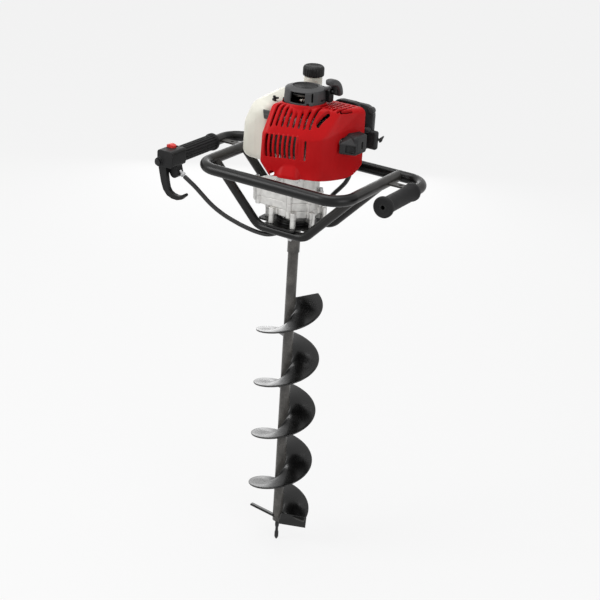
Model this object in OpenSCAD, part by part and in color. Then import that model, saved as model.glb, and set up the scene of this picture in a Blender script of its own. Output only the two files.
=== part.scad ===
// Earth auger: a two-stroke power head on a tube frame, driving a drill through a
// two-stage reduction gear. Z is up along the drill axis, the pilot tip is the origin,
// +X runs to the cylinder head, -Y to the muffler side.

/* [Drill] */
// Outer diameter of the flight
flight_d = 150; // [100:1:200]
// Rise of the flight in one turn
flight_pitch = 136.6; // [110:0.2:160]
// Turns of the flight
flight_turns = 4.18; // [3:0.02:4.3]
// Thickness of the flight sheet
flight_t = 4; // [3:0.5:6]
// Height of the flight's start above the pilot tip
flight_rise = 78; // [72:1:90]
// Outer diameter of the drill shaft
shaft_d = 24; // [22:1:26]
// Wall of the drill shaft
shaft_wall = 3; // [2:0.5:4]
// Length of the drill shaft
shaft_len = 730; // [700:5:900]
// Diameter of the pilot point
pilot_d = 10; // [8:0.5:12]
// Length of the pilot point below the shaft
pilot_len = 56; // [50:1:62]
// Thickness of the cutting blade
blade_t = 6; // [5:0.5:8]
// Width of the cutting blade along its slope
blade_w = 34; // [26:1:38]
// Slope of the cutting blade
blade_slope = 36; // [30:1:42]
// Thickness of the wing blade
wing_t = 5; // [4:0.5:7]
// Width of the wing blade
wing_w = 26; // [20:1:30]
// Reach of the wing blade from the drill axis
wing_reach = 72; // [50:1:75]
// Outer diameter of the coupling sleeve
sleeve_d = 28; // [27:0.5:32]
// Length of the coupling sleeve
sleeve_len = 58; // [54:1:64]
// Length of the shaft held in the sleeve
sleeve_grip = 20; // [15:1:22]
// Diameter of the coupling bolt
coupling_bolt_d = 8; // [6:0.5:9]

/* [Frame] */
// Diameter of the hoop and handlebar tube
tube_d = 25; // [22:0.5:28]
// Wall of the frame tubes
tube_wall = 2; // [1.5:0.25:3]
// Bend radius of the hoop and handlebar at the tube's centre
tube_bend = 48; // [40:1:55]
// Half width of the hoop, to the tube's centre
hoop_x = 184; // [178:1:200]
// Distance from the drill axis to the hoop's front bar
hoop_y = 122; // [116:1:135]
// Half width of the handlebar, to the tube's centre
handle_x = 258; // [248:1:280]
// Distance from the drill axis to the handlebar's rear bar
bar_y = 121; // [120:1:135]
// Height of the hoop above the base plate's underside
hoop_h = 117; // [110:1:119]
// Diameter of the leg tubes
leg_d = 20; // [18:0.5:22]
// Distance of each leg from the drill axis
leg_y = 57; // [55:1:62]
// Half length of a leg's bottom run, to the corner of its centre line
leg_run = 60; // [58:1:66]
// Bend radius of the legs
leg_bend = 40; // [30:1:45]
// Depth of the legs' underside below the coupling sleeve's top
leg_drop = 4; // [0:1:8]
// Thickness of the base plate
plate_t = 4; // [3:0.5:5]
// Length of a rubber grip
grip_len = 128; // [110:1:135]
// Diameter of a rubber grip
grip_d = 36; // [33:0.5:38]
// Diameter of the right grip's end flange
grip_flange_d = 46; // [42:1:50]
// Distance from the drill axis plane to the right handle's front end
right_end_y = 76; // [70:1:85]
// Distance from the drill axis plane to the left handle's front end
left_end_y = 114; // [110:1:120]
// Distance from the drill axis plane to the brace plates
brace_y = 62.5; // [62:0.5:63]

/* [Gearbox] */
// Module of the first gear stage
stage_one_module = 1.25; // [1.25]
// Teeth of the input pinion
input_teeth = 12; // [12]
// Teeth of the intermediate gear
wheel_teeth = 72; // [72]
// Module of the second gear stage
stage_two_module = 1.5; // [1.5]
// Teeth of the intermediate pinion
second_teeth = 12; // [12]
// Teeth of the output gear
output_teeth = 58; // [58]
// Pressure angle of the gears
pressure_angle = 25; // [25]
// Backlash taken from each tooth
backlash = 0.2; // [0.1:0.05:0.3]
// Width of the gear faces
gear_face = 9; // [7:0.5:9]
// Wall of the gear case round the gears
case_wall = 4.5; // [4:0.25:6]
// Diameter of the output shaft
output_d = 20; // [18:0.5:20]
// Height of the lower casting's floor above the base plate
foot_h = 20; // [19:0.5:22]
// Height of the lower casting
lower_h = 16; // [16:0.5:18]
// Height of the middle casting
middle_h = 18; // [18:0.5:20]
// Height of the upper casting
upper_h = 59; // [58:0.5:62]

/* [Engine] */
// Diameter of the crankshaft
crank_d = 15; // [14:0.5:16]
// Height of the crankcase
crankcase_h = 128; // [126:1:130]
// Radius of the flywheel fan
fan_r = 42; // [36:0.5:42]
// Wall of the shroud
shroud_wall = 2.5; // [2:0.25:3]
// Height of the shroud's top above the base plate's underside
shroud_top = 272; // [270:0.5:274]
// Radius of the shroud's edges
shroud_edge = 7; // [6:0.5:8]
// Cooling fins on the cylinder
fin_count = 9; // [6:1:10]
// Height of the recoil starter housing
starter_h = 38; // [37:0.5:42]
// Radius of the recoil starter housing at its base
starter_r = 46; // [45:0.5:48]
// Grooved radius of the starter pulley
pulley_r = 28; // [26:0.5:29]
// Wall of the fuel tank
tank_wall = 3; // [2:0.5:4]
// Diameter of the filler cap
cap_d = 46; // [42:1:50]
// Height of the filler cap
cap_h = 26; // [22:1:30]

/* [Fits] */
// Radial clearance of a running or seated fit
fit = 0.05; // [0.03:0.01:0.08]
// Clearance between neighbouring pieces
gap = 0.3; // [0.2:0.05:0.5]

/* [Hidden] */
$fn = 48;
hull_fn = 20;
tank_fn = 16;

// Heights of the drill
shaft_top = pilot_len + shaft_len;
sleeve_low = shaft_top - sleeve_grip;
sleeve_top = sleeve_low + sleeve_len;
// The power head's own zero is the underside of the base plate
base_z = sleeve_top - leg_drop + leg_d;
shaft_r = shaft_d / 2;
tube_r = tube_d / 2;
leg_r = leg_d / 2;
output_r = output_d / 2;

// Gearbox levels above the base plate's underside
case_low = plate_t + foot_h;
split_one = case_low + lower_h;
split_two = split_one + middle_h;
case_top = split_two + upper_h;
gear_distance = stage_one_module * (input_teeth + wheel_teeth) / 2;
output_gear_r = stage_two_module * (output_teeth / 2 + 1);
wheel_r = stage_one_module * (wheel_teeth / 2 + 1);
case_r = output_gear_r + 2 + case_wall;
lobe_r = wheel_r + 1.25 + case_wall;
output_gear_low = split_one - 2 - gear_face;
wheel_low = split_two - 1.2 - gear_face;
web_t = 7;

// Layout shared by the power head
cylinder_h = 205;
crank_r = crank_d / 2;
fan_low = case_top + crankcase_h + 3;
fan_top = fan_low + 20;
starter_low = shroud_top;
starter_top = starter_low + starter_h;
rope_h = starter_low + 26;
rope_r = 1.75;
rope_y = pulley_r + rope_r;
drum_r = 39;

function unit(v) = v / norm(v);
function frame_matrix(x, y, z, p) = [
  [x.x, y.x, z.x, p.x], [x.y, y.y, z.y, p.y], [x.z, y.z, z.z, p.z], [0, 0, 0, 1]
];

// Lift a piece to the power head's zero
module head() { translate([0, 0, base_z]) children(); }

// Straight bar of a 2D profile from a to b
module bar(a, b) {
  run = b - a;
  side = abs(unit(run).z) > 0.9 ? [1, 0, 0] : [0, 0, 1];
  x = unit(cross(side, run));
  y = unit(cross(run, x));
  multmatrix(frame_matrix(x, y, unit(run), a)) linear_extrude(norm(run)) children();
}

// Tube of a 2D ring profile along points, with a bend of the same radius at each inner point;
// a bead is the fine raised ring that a bending machine leaves at each end of a bend
module bent_tube(points, bend, r, wall, bead = 0) {
  last = len(points) - 1;
  trims = [for (i = [0:last]) i == 0 || i == last ? 0 :
    bend * tan(acos(unit(points[i] - points[i - 1]) * unit(points[i + 1] - points[i])) / 2)];
  for (i = [0:last - 1]) {
    way = unit(points[i + 1] - points[i]);
    from = points[i] + way * trims[i];
    to = points[i + 1] - way * trims[i + 1];
    bar(from, to) ring(r, wall);
    if (bead > 0) for (p = concat(i > 0 ? [from] : [], i < last - 1 ? [to] : []))
      bar(p - way * 0.6, p + way * 0.6) ring(r + bead, wall + 2 * bead);
  }
  for (i = [1:last - 1]) {
    u = unit(points[i] - points[i - 1]);
    v = unit(points[i + 1] - points[i]);
    inward = unit(v - u * (u * v));
    centre = points[i] - u * trims[i] + inward * bend;
    multmatrix(frame_matrix(-inward, u, cross(-inward, u), centre))
      rotate_extrude(angle = acos(u * v)) translate([bend, 0]) ring(r, wall);
  }
}

module ring(r, wall) {
  difference() {
    circle(r);
    circle(r - wall);
  }
}

// Round bar from a to b
module rod(a, b, r) { bar(a, b) circle(r); }

// Ring of height h
module annulus(outer, inner, h) { linear_extrude(h) ring(outer, outer - inner); }

// Rectangle with round corners, centred
module round_rect(w, h, r) {
  square([w - 2 * r, h], center = true);
  square([w, h - 2 * r], center = true);
  for (x = [-1, 1], y = [-1, 1]) translate([x * (w / 2 - r), y * (h / 2 - r)]) circle(r);
}

// Slot with round ends from a to b
module slot(a, b, r) {
  way = b - a;
  for (p = [a, b]) translate(p) circle(r);
  translate(a) rotate(atan2(way.y, way.x)) translate([0, -r]) square([norm(way), 2 * r]);
}

// Tapered link between two circles, with straight tangents
module link(a, ra, b, rb) {
  way = b - a;
  lean = acos((ra - rb) / norm(way));
  base = atan2(way.y, way.x);
  function at(p, r, t) = p + r * [cos(base + t), sin(base + t)];
  translate(a) circle(ra);
  translate(b) circle(rb);
  polygon([at(a, ra, lean), at(a, ra, -lean), at(b, rb, -lean), at(b, rb, lean)]);
}

// Hexagon head or nut of a bolt
module hexagon(across, h) { cylinder(d = across / cos(30), h = h, $fn = 6); }

// Involute tooth outline of a spur gear, with one tooth centred on the X axis
function involute(base_r, r) = let (a = acos(base_r / r)) tan(a) * 180 / PI - a;
module gear_profile(module_mm, teeth) {
  pitch_r = module_mm * teeth / 2;
  base_r = pitch_r * cos(pressure_angle);
  tip_r = pitch_r + module_mm;
  root_r = pitch_r - 1.25 * module_mm;
  low_r = max(base_r, root_r);
  half = 90 / teeth - backlash / 2 / pitch_r * 180 / PI + involute(base_r, pitch_r);
  steps = 4;
  flank = [for (i = [0:steps]) let (r = low_r + (tip_r - low_r) * i / steps)
    [r, half - involute(base_r, r)]];
  foot = [root_r, flank[0][1] + 0.5];
  side = concat([foot], flank);
  tooth = concat([for (p = side) [p[0], -p[1]]],
    [for (i = [len(side) - 1:-1:0]) side[i]]);
  polygon([for (t = [0:teeth - 1], p = tooth)
    p[0] * [cos(p[1] + t * 360 / teeth), sin(p[1] + t * 360 / teeth)]]);
}

// Drill

module pilot_point() color("dimgray") {
  r = pilot_d / 2;
  plug_r = shaft_r - shaft_wall - fit;
  rotate_extrude() polygon([
    [0, 0], [r / 2, 0], [r, 6], [r, 18], [r * 0.72, 24], [r * 0.72, 32], [r, 38],
    [r, pilot_len - 6], [shaft_r - 2, pilot_len - fit], [plug_r, pilot_len - fit],
    [plug_r, pilot_len + 20], [0, pilot_len + 20]
  ]);
}

module auger_shaft() color("black")
  translate([0, 0, pilot_len]) annulus(shaft_r, shaft_r - shaft_wall, shaft_len);

// Sheet of the flight: rings of four corners, one ring a step
flight_steps = 36;
flight_corners = [[0, -0.5], [1, -0.5], [1, 0.5], [0, 0.5]];
function flight_corner(i, r, up) = let (a = i * 360 / flight_steps)
  [r * cos(a), r * sin(a), flight_rise + flight_pitch * i / flight_steps + up * flight_t];

module auger_flight() {
  steps = round(flight_turns * flight_steps);
  inner = (shaft_r + fit) / cos(180 / flight_steps);
  outer = flight_d / 2;
  points = [for (i = [0:steps], c = flight_corners) flight_corner(i, inner + c[0] * (outer - inner), c[1])];
  walls = [for (i = [0:steps - 1], k = [0:3]) let (a = 4 * i + k, b = 4 * i + (k + 1) % 4)
    each [[a, b + 4, b], [a, a + 4, b + 4]]];
  ends = [[0, 1, 3], [1, 2, 3]];
  last = [for (t = ends) [for (k = [2:-1:0]) t[k] + 4 * steps]];
  color("black") polyhedron(points, concat(walls, ends, last));
}

// Flat blade with a bevelled leading edge, lying along X with its back edge on the X axis
module blade(reach, width, t) {
  start = shaft_r / 3;
  translate([start, 0, -t / 2]) rotate([90, 0, 90]) linear_extrude(reach - start)
    polygon([[0, 0], [-width + 3, 0], [-width, t * 0.45], [-width + 9, t], [0, t]]);
}

module cutting_blade() color("black")
  difference() {
    translate([0, -gap - blade_t / 2 * sin(blade_slope), flight_rise - 1])
      rotate([blade_slope, 0, 0]) blade(flight_d / 2 - 1, blade_w, blade_t);
    cylinder(r = shaft_r + fit, h = flight_rise * 2);
  }

module wing_blade() color("black") {
  plan_angle = 190;
  lift = 13;
  tilt = 24;
  difference() {
    rotate(plan_angle) translate([0, 0, pilot_len + wing_t + 2]) rotate([0, -lift, 0])
      rotate([tilt, 0, 0]) translate([0, wing_w / 2, 0]) blade(wing_reach, wing_w, wing_t);
    cylinder(r = shaft_r + fit, h = flight_rise * 2);
  }
}

coupling_z = sleeve_top - 21;

module coupling_sleeve() color("black")
  difference() {
    translate([0, 0, sleeve_low]) cylinder(d = sleeve_d, h = sleeve_len);
    translate([0, 0, sleeve_low - 1]) cylinder(r = shaft_r + fit, h = sleeve_grip + 1 + fit);
    translate([0, 0, sleeve_low]) cylinder(r = output_r + fit, h = sleeve_len + 1);
    coupling_hole();
  }

module coupling_hole()
  translate([0, 0, coupling_z]) rotate([90, 0, 0])
    cylinder(r = coupling_bolt_d / 2 + fit, h = 2 * sleeve_d, center = true);

module coupling_bolt() color("silver") {
  head_t = 5;
  shank = sleeve_d + 8;
  translate([0, 0, coupling_z]) rotate([-90, 0, 0]) {
    translate([0, 0, -sleeve_d / 2 - head_t - fit]) hexagon(1.6 * coupling_bolt_d, head_t);
    translate([0, 0, -sleeve_d / 2 - 1 - fit]) cylinder(d = coupling_bolt_d, h = shank);
    translate([0, 0, sleeve_d / 2 + fit]) difference() {
      hexagon(1.6 * coupling_bolt_d, 6);
      translate([0, 0, -1]) cylinder(r = coupling_bolt_d / 2 + fit, h = 9);
    }
  }
}

// Reduction gear

output_hub_r = 8;
journal_r = 6;
counter_r = 5;
counter_seat_r = 7.5;
seal_h = 3;
output_bearing_low = case_low - 13;
output_bearing_h = 12;
output_bearing_r = 21;
small_bearing_r = 14;
small_bearing_h = 8;
counter_bearing_r = 13;
input_bearing_low = split_two + 3;
counter_low_seat = case_low - 6;

module output_shaft() color("silver")
  difference() {
    union() {
      translate([0, 0, shaft_top + 1])
        cylinder(r = output_r, h = base_z + output_gear_low - gap - shaft_top - 1);
      head() translate([0, 0, output_gear_low - gap]) cylinder(r = output_hub_r, h = gear_face + 2 * gap);
      head() translate([0, 0, output_gear_low])
        cylinder(r = journal_r, h = split_one + web_t - output_gear_low);
    }
    coupling_hole();
  }

module output_gear() color("silver") head()
  translate([0, 0, output_gear_low]) linear_extrude(gear_face) difference() {
    rotate(180) gear_profile(stage_two_module, output_teeth);
    circle(output_hub_r + fit);
    for (a = [0:60:300]) rotate(a) translate([25, 0]) circle(7);
  }

module intermediate_shaft() color("silver") head() translate([-gear_distance, 0, 0]) {
  pinion_low = output_gear_low - 0.5;
  pinion_top = split_one - 1;
  translate([0, 0, counter_low_seat + 0.5]) cylinder(r = counter_r, h = pinion_low - counter_low_seat);
  translate([0, 0, pinion_low]) linear_extrude(pinion_top - pinion_low)
    rotate(180 / second_teeth) gear_profile(stage_two_module, second_teeth);
  translate([0, 0, pinion_top]) cylinder(r = counter_seat_r, h = wheel_low + gear_face - pinion_top);
  translate([0, 0, wheel_low + gear_face])
    cylinder(r = counter_r, h = split_two + 11 - wheel_low - gear_face);
}

module intermediate_gear() color("silver") head()
  translate([-gear_distance, 0, wheel_low]) linear_extrude(gear_face) difference() {
    gear_profile(stage_one_module, wheel_teeth);
    circle(counter_seat_r + fit);
    for (a = [0:60:300]) rotate(a) translate([26, 0]) circle(8);
  }

drum_low = input_bearing_low + 2 * small_bearing_h + 4;
input_top = drum_low + 3;

module input_pinion() color("silver") head() {
  translate([0, 0, wheel_low - 0.5]) linear_extrude(gear_face + 1)
    rotate(180 + 180 / input_teeth) gear_profile(stage_one_module, input_teeth);
  translate([0, 0, wheel_low + gear_face + 0.5])
    cylinder(r = journal_r, h = input_top - wheel_low - gear_face - 0.5);
}

module clutch_drum() color("dimgray") head() translate([0, 0, drum_low])
  difference() {
    cylinder(r = drum_r, h = 26);
    translate([0, 0, 3]) cylinder(r = drum_r - 3, h = 26);
    translate([0, 0, -1]) cylinder(r = journal_r + fit, h = 8);
  }

shoe_low = drum_low + 6;
shoe_h = 17;
crank_low = input_top + 1;

module clutch_shoes() color("gray") head() translate([0, 0, shoe_low])
  for (side = [-1, 1]) difference() {
    linear_extrude(shoe_h) intersection() {
      ring(drum_r - 4, drum_r - 4 - crank_r - gap);
      translate([-drum_r, side > 0 ? 1.5 : -drum_r - 1.5]) square([2 * drum_r, drum_r]);
    }
    for (x = [-1, 1]) translate([x * 24, side * 12, -1]) cylinder(r = 3, h = 20);
  }

module bearing(outer, inner, h) difference() {
  annulus(outer - fit, inner + fit, h);
  for (z = [-0.6, h - 0.6]) translate([0, 0, z]) annulus(outer - 2.5, inner + 2.5, 1.2);
}

module bearings() color("silver") head() {
  for (z = [case_top + fit, case_top + crankcase_h - crank_seat_h - fit])
    translate([0, 0, z]) bearing(crank_seat_r, crank_r, crank_seat_h);
  translate([0, 0, output_bearing_low]) bearing(output_bearing_r, output_r, output_bearing_h);
  translate([0, 0, split_one]) bearing(small_bearing_r, journal_r, web_t);
  for (i = [0, 1]) translate([0, 0, input_bearing_low + i * (small_bearing_h + fit)])
    bearing(small_bearing_r, journal_r, small_bearing_h);
  for (z = [counter_low_seat + 1, split_two + 2.5]) translate([-gear_distance, 0, z])
    bearing(counter_bearing_r, counter_r, small_bearing_h);
}

module output_seal() color("black") head()
  translate([0, 0, output_bearing_low - seal_h - fit])
    annulus(output_bearing_r - fit, output_r + fit, seal_h);

// Bolt columns of the gear case, seen from above
case_bolt_d = 6;
main_ears = [for (a = [-75, -25, 25, 75]) (case_r + 1) * [cos(a), sin(a)]];
lobe_ears = [for (a = [105, 180, 255]) [-gear_distance, 0] + (lobe_r + 1) * [cos(a), sin(a)]];
ear_r = 6.5;
flange_h = 18;
feet = [for (x = [-57, 57]) each [[x, -24], [x, 24]]];
side_feet = [for (x = [-28, 28]) each [[x, -55], [x, 55]]];

module circles(places, r) for (p = places) translate(p) circle(r);

all_ears = concat(main_ears, lobe_ears);
bolt_hole_r = case_bolt_d / 2 + fit;

module lobe_plan(r, lobe) {
  circle(r);
  translate([-gear_distance, 0]) circle(lobe);
  reach = min(r, lobe) - 0.5;
  translate([-gear_distance, -reach]) square([gear_distance, 2 * reach]);
}

module gear_case_lower() color("gainsboro") head() difference() {
  union() {
    translate([0, 0, case_low]) linear_extrude(lower_h) {
      lobe_plan(case_r, 26);
      circles(main_ears, ear_r);
      for (p = concat(feet, side_feet)) {
        rotate(atan2(p.y, p.x)) translate([norm(p) * 0.6, -5]) square([norm(p) * 0.4, 10]);
        translate(p) circle(7);
      }
    }
    for (p = concat(feet, side_feet)) translate([p.x, p.y, plate_t]) cylinder(r = 6.4, h = foot_h + 2);
    for (p = feet) rotate(atan2(p.y, p.x)) translate([44, -2.5, plate_t + 8]) cube([16, 5, foot_h]);
    translate([0, 0, output_bearing_low - seal_h - 1]) cylinder(r = output_bearing_r + 6, h = 20);
    translate([-gear_distance, 0, counter_low_seat - 3]) cylinder(r = counter_bearing_r + 5, h = 14);
  }
  translate([0, 0, output_gear_low - 1.5]) cylinder(r = case_r - case_wall, h = 40);
  translate([-gear_distance, 0, output_gear_low - 1.5]) cylinder(r = counter_bearing_r + 3, h = 40);
  translate([0, 0, output_bearing_low - 6]) cylinder(r = output_bearing_r, h = 40);
  translate([-gear_distance, 0, counter_low_seat]) cylinder(r = counter_bearing_r, h = 40);
  translate([0, 0, case_low - 1]) linear_extrude(lower_h + 2) circles(main_ears, bolt_hole_r);
  linear_extrude(16) circles(feet, bolt_hole_r);
}

module gear_case_middle() color("gainsboro") head() translate([0, 0, split_one]) difference() {
  linear_extrude(middle_h) {
    lobe_plan(case_r, lobe_r);
    circles(all_ears, ear_r);
  }
  translate([0, 0, web_t]) linear_extrude(middle_h) lobe_plan(case_r - case_wall, lobe_r - case_wall);
  translate([0, 0, -1]) cylinder(r = small_bearing_r, h = web_t + 2);
  translate([-gear_distance, 0, -1]) cylinder(r = counter_seat_r + 4, h = web_t + 2);
  translate([0, 0, -1]) linear_extrude(middle_h + 2) circles(all_ears, bolt_hole_r);
}

clutch_r = drum_r + 2.5;
neck_ears = [for (a = [-60, 0, 60, 120, 180, 240]) (clutch_r + 8) * [cos(a), sin(a)]];

module gear_case_upper() color("gainsboro") head() difference() {
  union() {
    translate([0, 0, split_two]) linear_extrude(flange_h) {
      lobe_plan(case_r, lobe_r + 1);
      circles(all_ears, ear_r);
    }
    translate([0, 0, split_two]) cylinder(r = clutch_r + case_wall, h = upper_h);
    translate([0, 0, case_top - 9]) linear_extrude(9) {
      circle(clutch_r + case_wall + 1);
      for (p = neck_ears) translate(p) circle(6);
    }
    for (a = [40, 100, 150], side = [-1, 1])
      rotate(side * a) translate([clutch_r + 2, -1.5, split_two + 14]) cube([6, 3, upper_h - 20]);
  }
  translate([0, 0, drum_low - 1.5]) cylinder(r = clutch_r, h = upper_h);
  translate([0, 0, split_two - 1]) cylinder(r = small_bearing_r, h = upper_h);
  translate([-gear_distance, 0, split_two - 1]) cylinder(r = counter_bearing_r, h = 13);
  translate([0, 0, split_two - 1]) linear_extrude(flange_h + 2) circles(all_ears, bolt_hole_r);
  for (p = neck_ears) translate([p.x, p.y, case_top - 10]) cylinder(r = 2.5 + fit, h = 12);
}

// Socket-head bolts from a low end up to the upper casting's flange
module case_bolt(places, low) for (p = places) translate([p.x, p.y, 0]) {
  seat = split_two + flange_h + fit;
  translate([0, 0, low]) cylinder(d = case_bolt_d, h = seat + 1 - low);
  translate([0, 0, seat]) difference() {
    cylinder(d = 1.65 * case_bolt_d, h = case_bolt_d);
    translate([0, 0, case_bolt_d / 2]) hexagon(5, case_bolt_d);
  }
}

module case_bolts() color("silver") head() {
  case_bolt(main_ears, case_low + 2);
  case_bolt(lobe_ears, split_one + 2);
  for (p = feet) translate([p.x, p.y, -5 - fit]) {
    hexagon(10, 5);
    cylinder(d = case_bolt_d, h = 18);
  }
  for (p = neck_ears) translate([p.x, p.y, case_top - 9 - 3 - fit]) {
    cylinder(r = 3.3, h = 3);
    cylinder(r = 2.5, h = 15);
  }
}

// Frame

module base_plate() color("black") head() {
  plate_sheet();
  annulus(output_bearing_r + 22, output_bearing_r + 9, plate_t + 7);
}

module plate_sheet() linear_extrude(plate_t) difference() {
  union() {
    round_rect(140, 2 * (leg_y - leg_r) - 2, 8);
    round_rect(80, 2 * leg_y + leg_d + 6, 8);
  }
  circle(output_bearing_r + 6 + 3);
  circles(feet, bolt_hole_r);
}

leg_bead = 0.1;

// One leg: a bottom run and two uprights, cut to the hoop's sides
module leg(side) {
  y = side * leg_y;
  top = [hoop_x, y, hoop_h];
  low = [leg_run, y, -leg_r - leg_bead - fit];
  color("black") head() difference() {
    bent_tube(
      [[-top.x, top.y, top.z], [-low.x, low.y, low.z], low, top], leg_bend, leg_r, tube_wall, leg_bead);
    for (x = [-1, 1]) rod([x * hoop_x, -hoop_y, hoop_h], [x * hoop_x, bar_y, hoop_h], tube_r + fit);
  }
}

module leg_front() leg(-1);

module leg_rear() leg(1);

module hoop_tube() color("black") head() difference() {
  bent_tube([
    [-hoop_x, bar_y, hoop_h], [-hoop_x, -hoop_y, hoop_h], [hoop_x, -hoop_y, hoop_h], [hoop_x, bar_y, hoop_h]
  ], tube_bend, tube_r, tube_wall);
  rod([-handle_x, bar_y, hoop_h], [handle_x, bar_y, hoop_h], tube_r + fit);
}

module handlebar_tube() color("black") head()
  bent_tube([
    [-handle_x, -left_end_y, hoop_h], [-handle_x, bar_y, hoop_h], [handle_x, bar_y, hoop_h],
    [handle_x, -right_end_y, hoop_h]
  ], tube_bend, tube_r, tube_wall);

// Flat brace between a handle run and the hoop's side
module brace(side) color("black") head() difference() {
  translate([0, 0, hoop_h - 2]) linear_extrude(4) difference() {
    translate([side * (hoop_x + handle_x) / 2, brace_y]) square([handle_x - hoop_x, 19], center = true);
    translate([side * (hoop_x + handle_x) / 2, brace_y]) circle(4);
  }
  for (x = [hoop_x, handle_x]) rod([side * x, -20, hoop_h], [side * x, bar_y, hoop_h], tube_r + fit);
}

module brace_left() brace(-1);

module brace_right() brace(1);

grip_r = grip_d / 2;

// Right grip, with finger rings and an end flange
module grip_right() color("black") head() translate([handle_x, -right_end_y, hoop_h]) rotate([-90, 0, 0])
  difference() {
    rotate_extrude() polygon([
      [0, -6], [grip_flange_d / 2 - 3, -6], [grip_flange_d / 2, -3], [grip_flange_d / 2, 3],
      [grip_flange_d / 2 - 3, 6], [grip_r, 9], [grip_r, grip_len - 14], [grip_r + 2, grip_len - 12],
      [grip_r + 2, grip_len - 4], [grip_r - 1, grip_len], [0, grip_len]
    ]);
    translate([0, 0, -fit]) cylinder(r = tube_r + fit, h = grip_len + 1);
    translate([0, 0, -7]) cylinder(r = 3, h = 8);
  }

left_grip_low = -left_end_y + 28;

// Left grip, ribbed lengthwise
module grip_left() color("black") head() translate([-handle_x, left_grip_low, hoop_h]) rotate([-90, 0, 0])
  difference() {
    union() {
      linear_extrude(grip_len - 12) {
        circle(grip_r - 2);
        for (a = [0:20:340]) rotate(a) translate([grip_r - 2, 0]) circle(2);
      }
      translate([0, 0, grip_len - 12]) cylinder(r = grip_r + 2, h = 8);
    }
    translate([0, 0, -1]) cylinder(r = tube_r + fit, h = grip_len + 2);
  }

// Throttle control at the left handle's end
lever_pivot = [-276, 108];
lever_y = -124;
lever_w = 11;
pivot_r = 4;
switch_at = [-268, -104];
switch_size = [20, 13];
switch_travel = 5;
switch_low = hoop_h + tube_r + 1.5;
housing_low_y = -left_end_y - 23;
housing_len = 50;
adjuster_end = [-230, -105, 76.5];
adjuster_way = unit([21, 0, -16]);

module throttle_housing() color("black") head() difference() {
  union() {
    translate([-handle_x - 3, 0, hoop_h]) rotate([-90, 0, 0]) translate([0, 0, housing_low_y])
      linear_extrude(housing_len) round_rect(42, 38, 7);
    translate([0, lever_y + lever_w / 2 + gap, 0]) rotate([90, 0, 0]) mirror([0, 0, 1]) linear_extrude(22)
      link([-260, 104], 15, [-250, 82], 11);
    translate([lever_pivot.x, housing_low_y + 1, lever_pivot.y]) rotate([90, 0, 0]) cylinder(r = 10, h = 5);
  }
  rod([-handle_x, -left_end_y - fit, hoop_h], [-handle_x, 0, hoop_h], tube_r + fit);
  // Slot in which the lever swings
  translate([0, lever_y + lever_w / 2 + gap, 0]) rotate([90, 0, 0]) linear_extrude(lever_w + 2 * gap) {
    translate(lever_pivot) circle(13);
    translate([lever_pivot.x - 12, 84]) square([40, lever_pivot.y - 84]);
  }
  translate([lever_pivot.x, 0, lever_pivot.y]) rotate([90, 0, 0]) cylinder(r = pivot_r + fit, h = 200);
  translate([switch_at.x, switch_at.y + switch_travel / 2, switch_low - gap]) linear_extrude(12)
    round_rect(switch_size.x + 2 * gap, switch_size.y + switch_travel + 2 * gap, 3);
  rod(adjuster_end - 17 * adjuster_way, adjuster_end, 4 + fit);
}

// Hooked lever in one plane, from its pivot down to the finger hook: outline along a spine with half-widths
lever_spine = [
  lever_pivot, [-272, 84], [-268, 62], [-263, 46], [-255, 36.5], [-244, 32], [-232, 31], [-221, 34], [-211, 42]
];
lever_half = [11, 10, 9, 8, 7, 6, 5.2, 4.4, 3.4];
lever_last = len(lever_spine) - 1;
function lever_way(i) = unit(lever_spine[min(i + 1, lever_last)] - lever_spine[max(i - 1, 0)]);
function lever_edge(i, turn) = let (way = lever_way(i))
  lever_spine[i] + lever_half[i] * (cos(turn) * way + sin(turn) * [-way.y, way.x]);

module throttle_lever() color("black") head() translate([0, lever_y + lever_w / 2, 0]) rotate([90, 0, 0])
  linear_extrude(lever_w) difference() {
    polygon(concat(
      [for (i = [0:lever_last - 1]) lever_edge(i, -90)], [for (a = [-90:30:90]) lever_edge(lever_last, a)],
      [for (i = [lever_last - 1:-1:1]) lever_edge(i, 90)], [for (a = [90:15:255]) lever_edge(0, a)]));
    translate(lever_pivot) circle(pivot_r + fit);
  }

module lever_pin() color("dimgray") head() translate([lever_pivot.x, 0, lever_pivot.y]) rotate([90, 0, 0]) {
  translate([0, 0, -housing_low_y + 4 + gap]) cylinder(r = 7, h = 3);
  translate([0, 0, -housing_low_y - 24]) cylinder(r = pivot_r, h = 28 + gap);
}

module stop_switch() color("red") head() translate([switch_at.x, switch_at.y, switch_low]) {
  linear_extrude(8) round_rect(switch_size.x, switch_size.y, 3);
  translate([0, 0, 7]) intersection() {
    linear_extrude(8) round_rect(switch_size.x, switch_size.y, 3);
    translate([0, switch_size.y / 2, -15]) rotate([90, 0, 0]) cylinder(r = 20, h = switch_size.y);
  }
}

module cable_adjuster() color("dimgray") head() {
  rod(adjuster_end - 16 * adjuster_way, adjuster_end, 4);
  rod(adjuster_end - 7 * adjuster_way, adjuster_end - 3 * adjuster_way, 6.5);
}

// Throttle cable conduit, from the adjuster under the base plate to the carburettor
cable_r = 5;
cable_route = [
  [-229.5, -105, 76], [-218, -103, 68], [-205, -100, 58], [-187, -95, 41], [-167, -90, 23],
  [-140, -83, 5], [-110, -75, -9], [-83, -67, -19], [-60, -58, -26], [-44, -45, -31], [-36, -26, -33],
  [-33, -4, -34], [-31, 20, -34], [-26, 44, -33], [-16, 66, -29], [-4, 80, -19], [8, 86, -2], [19, 88, 16],
  [31, 88, 34], [45, 88, 52], [60, 88, 69], [73, 88, 87], [81, 87, 108], [83, 84, 130], [82, 80, 150],
  [80, 76.6, 162.2]
];

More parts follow.
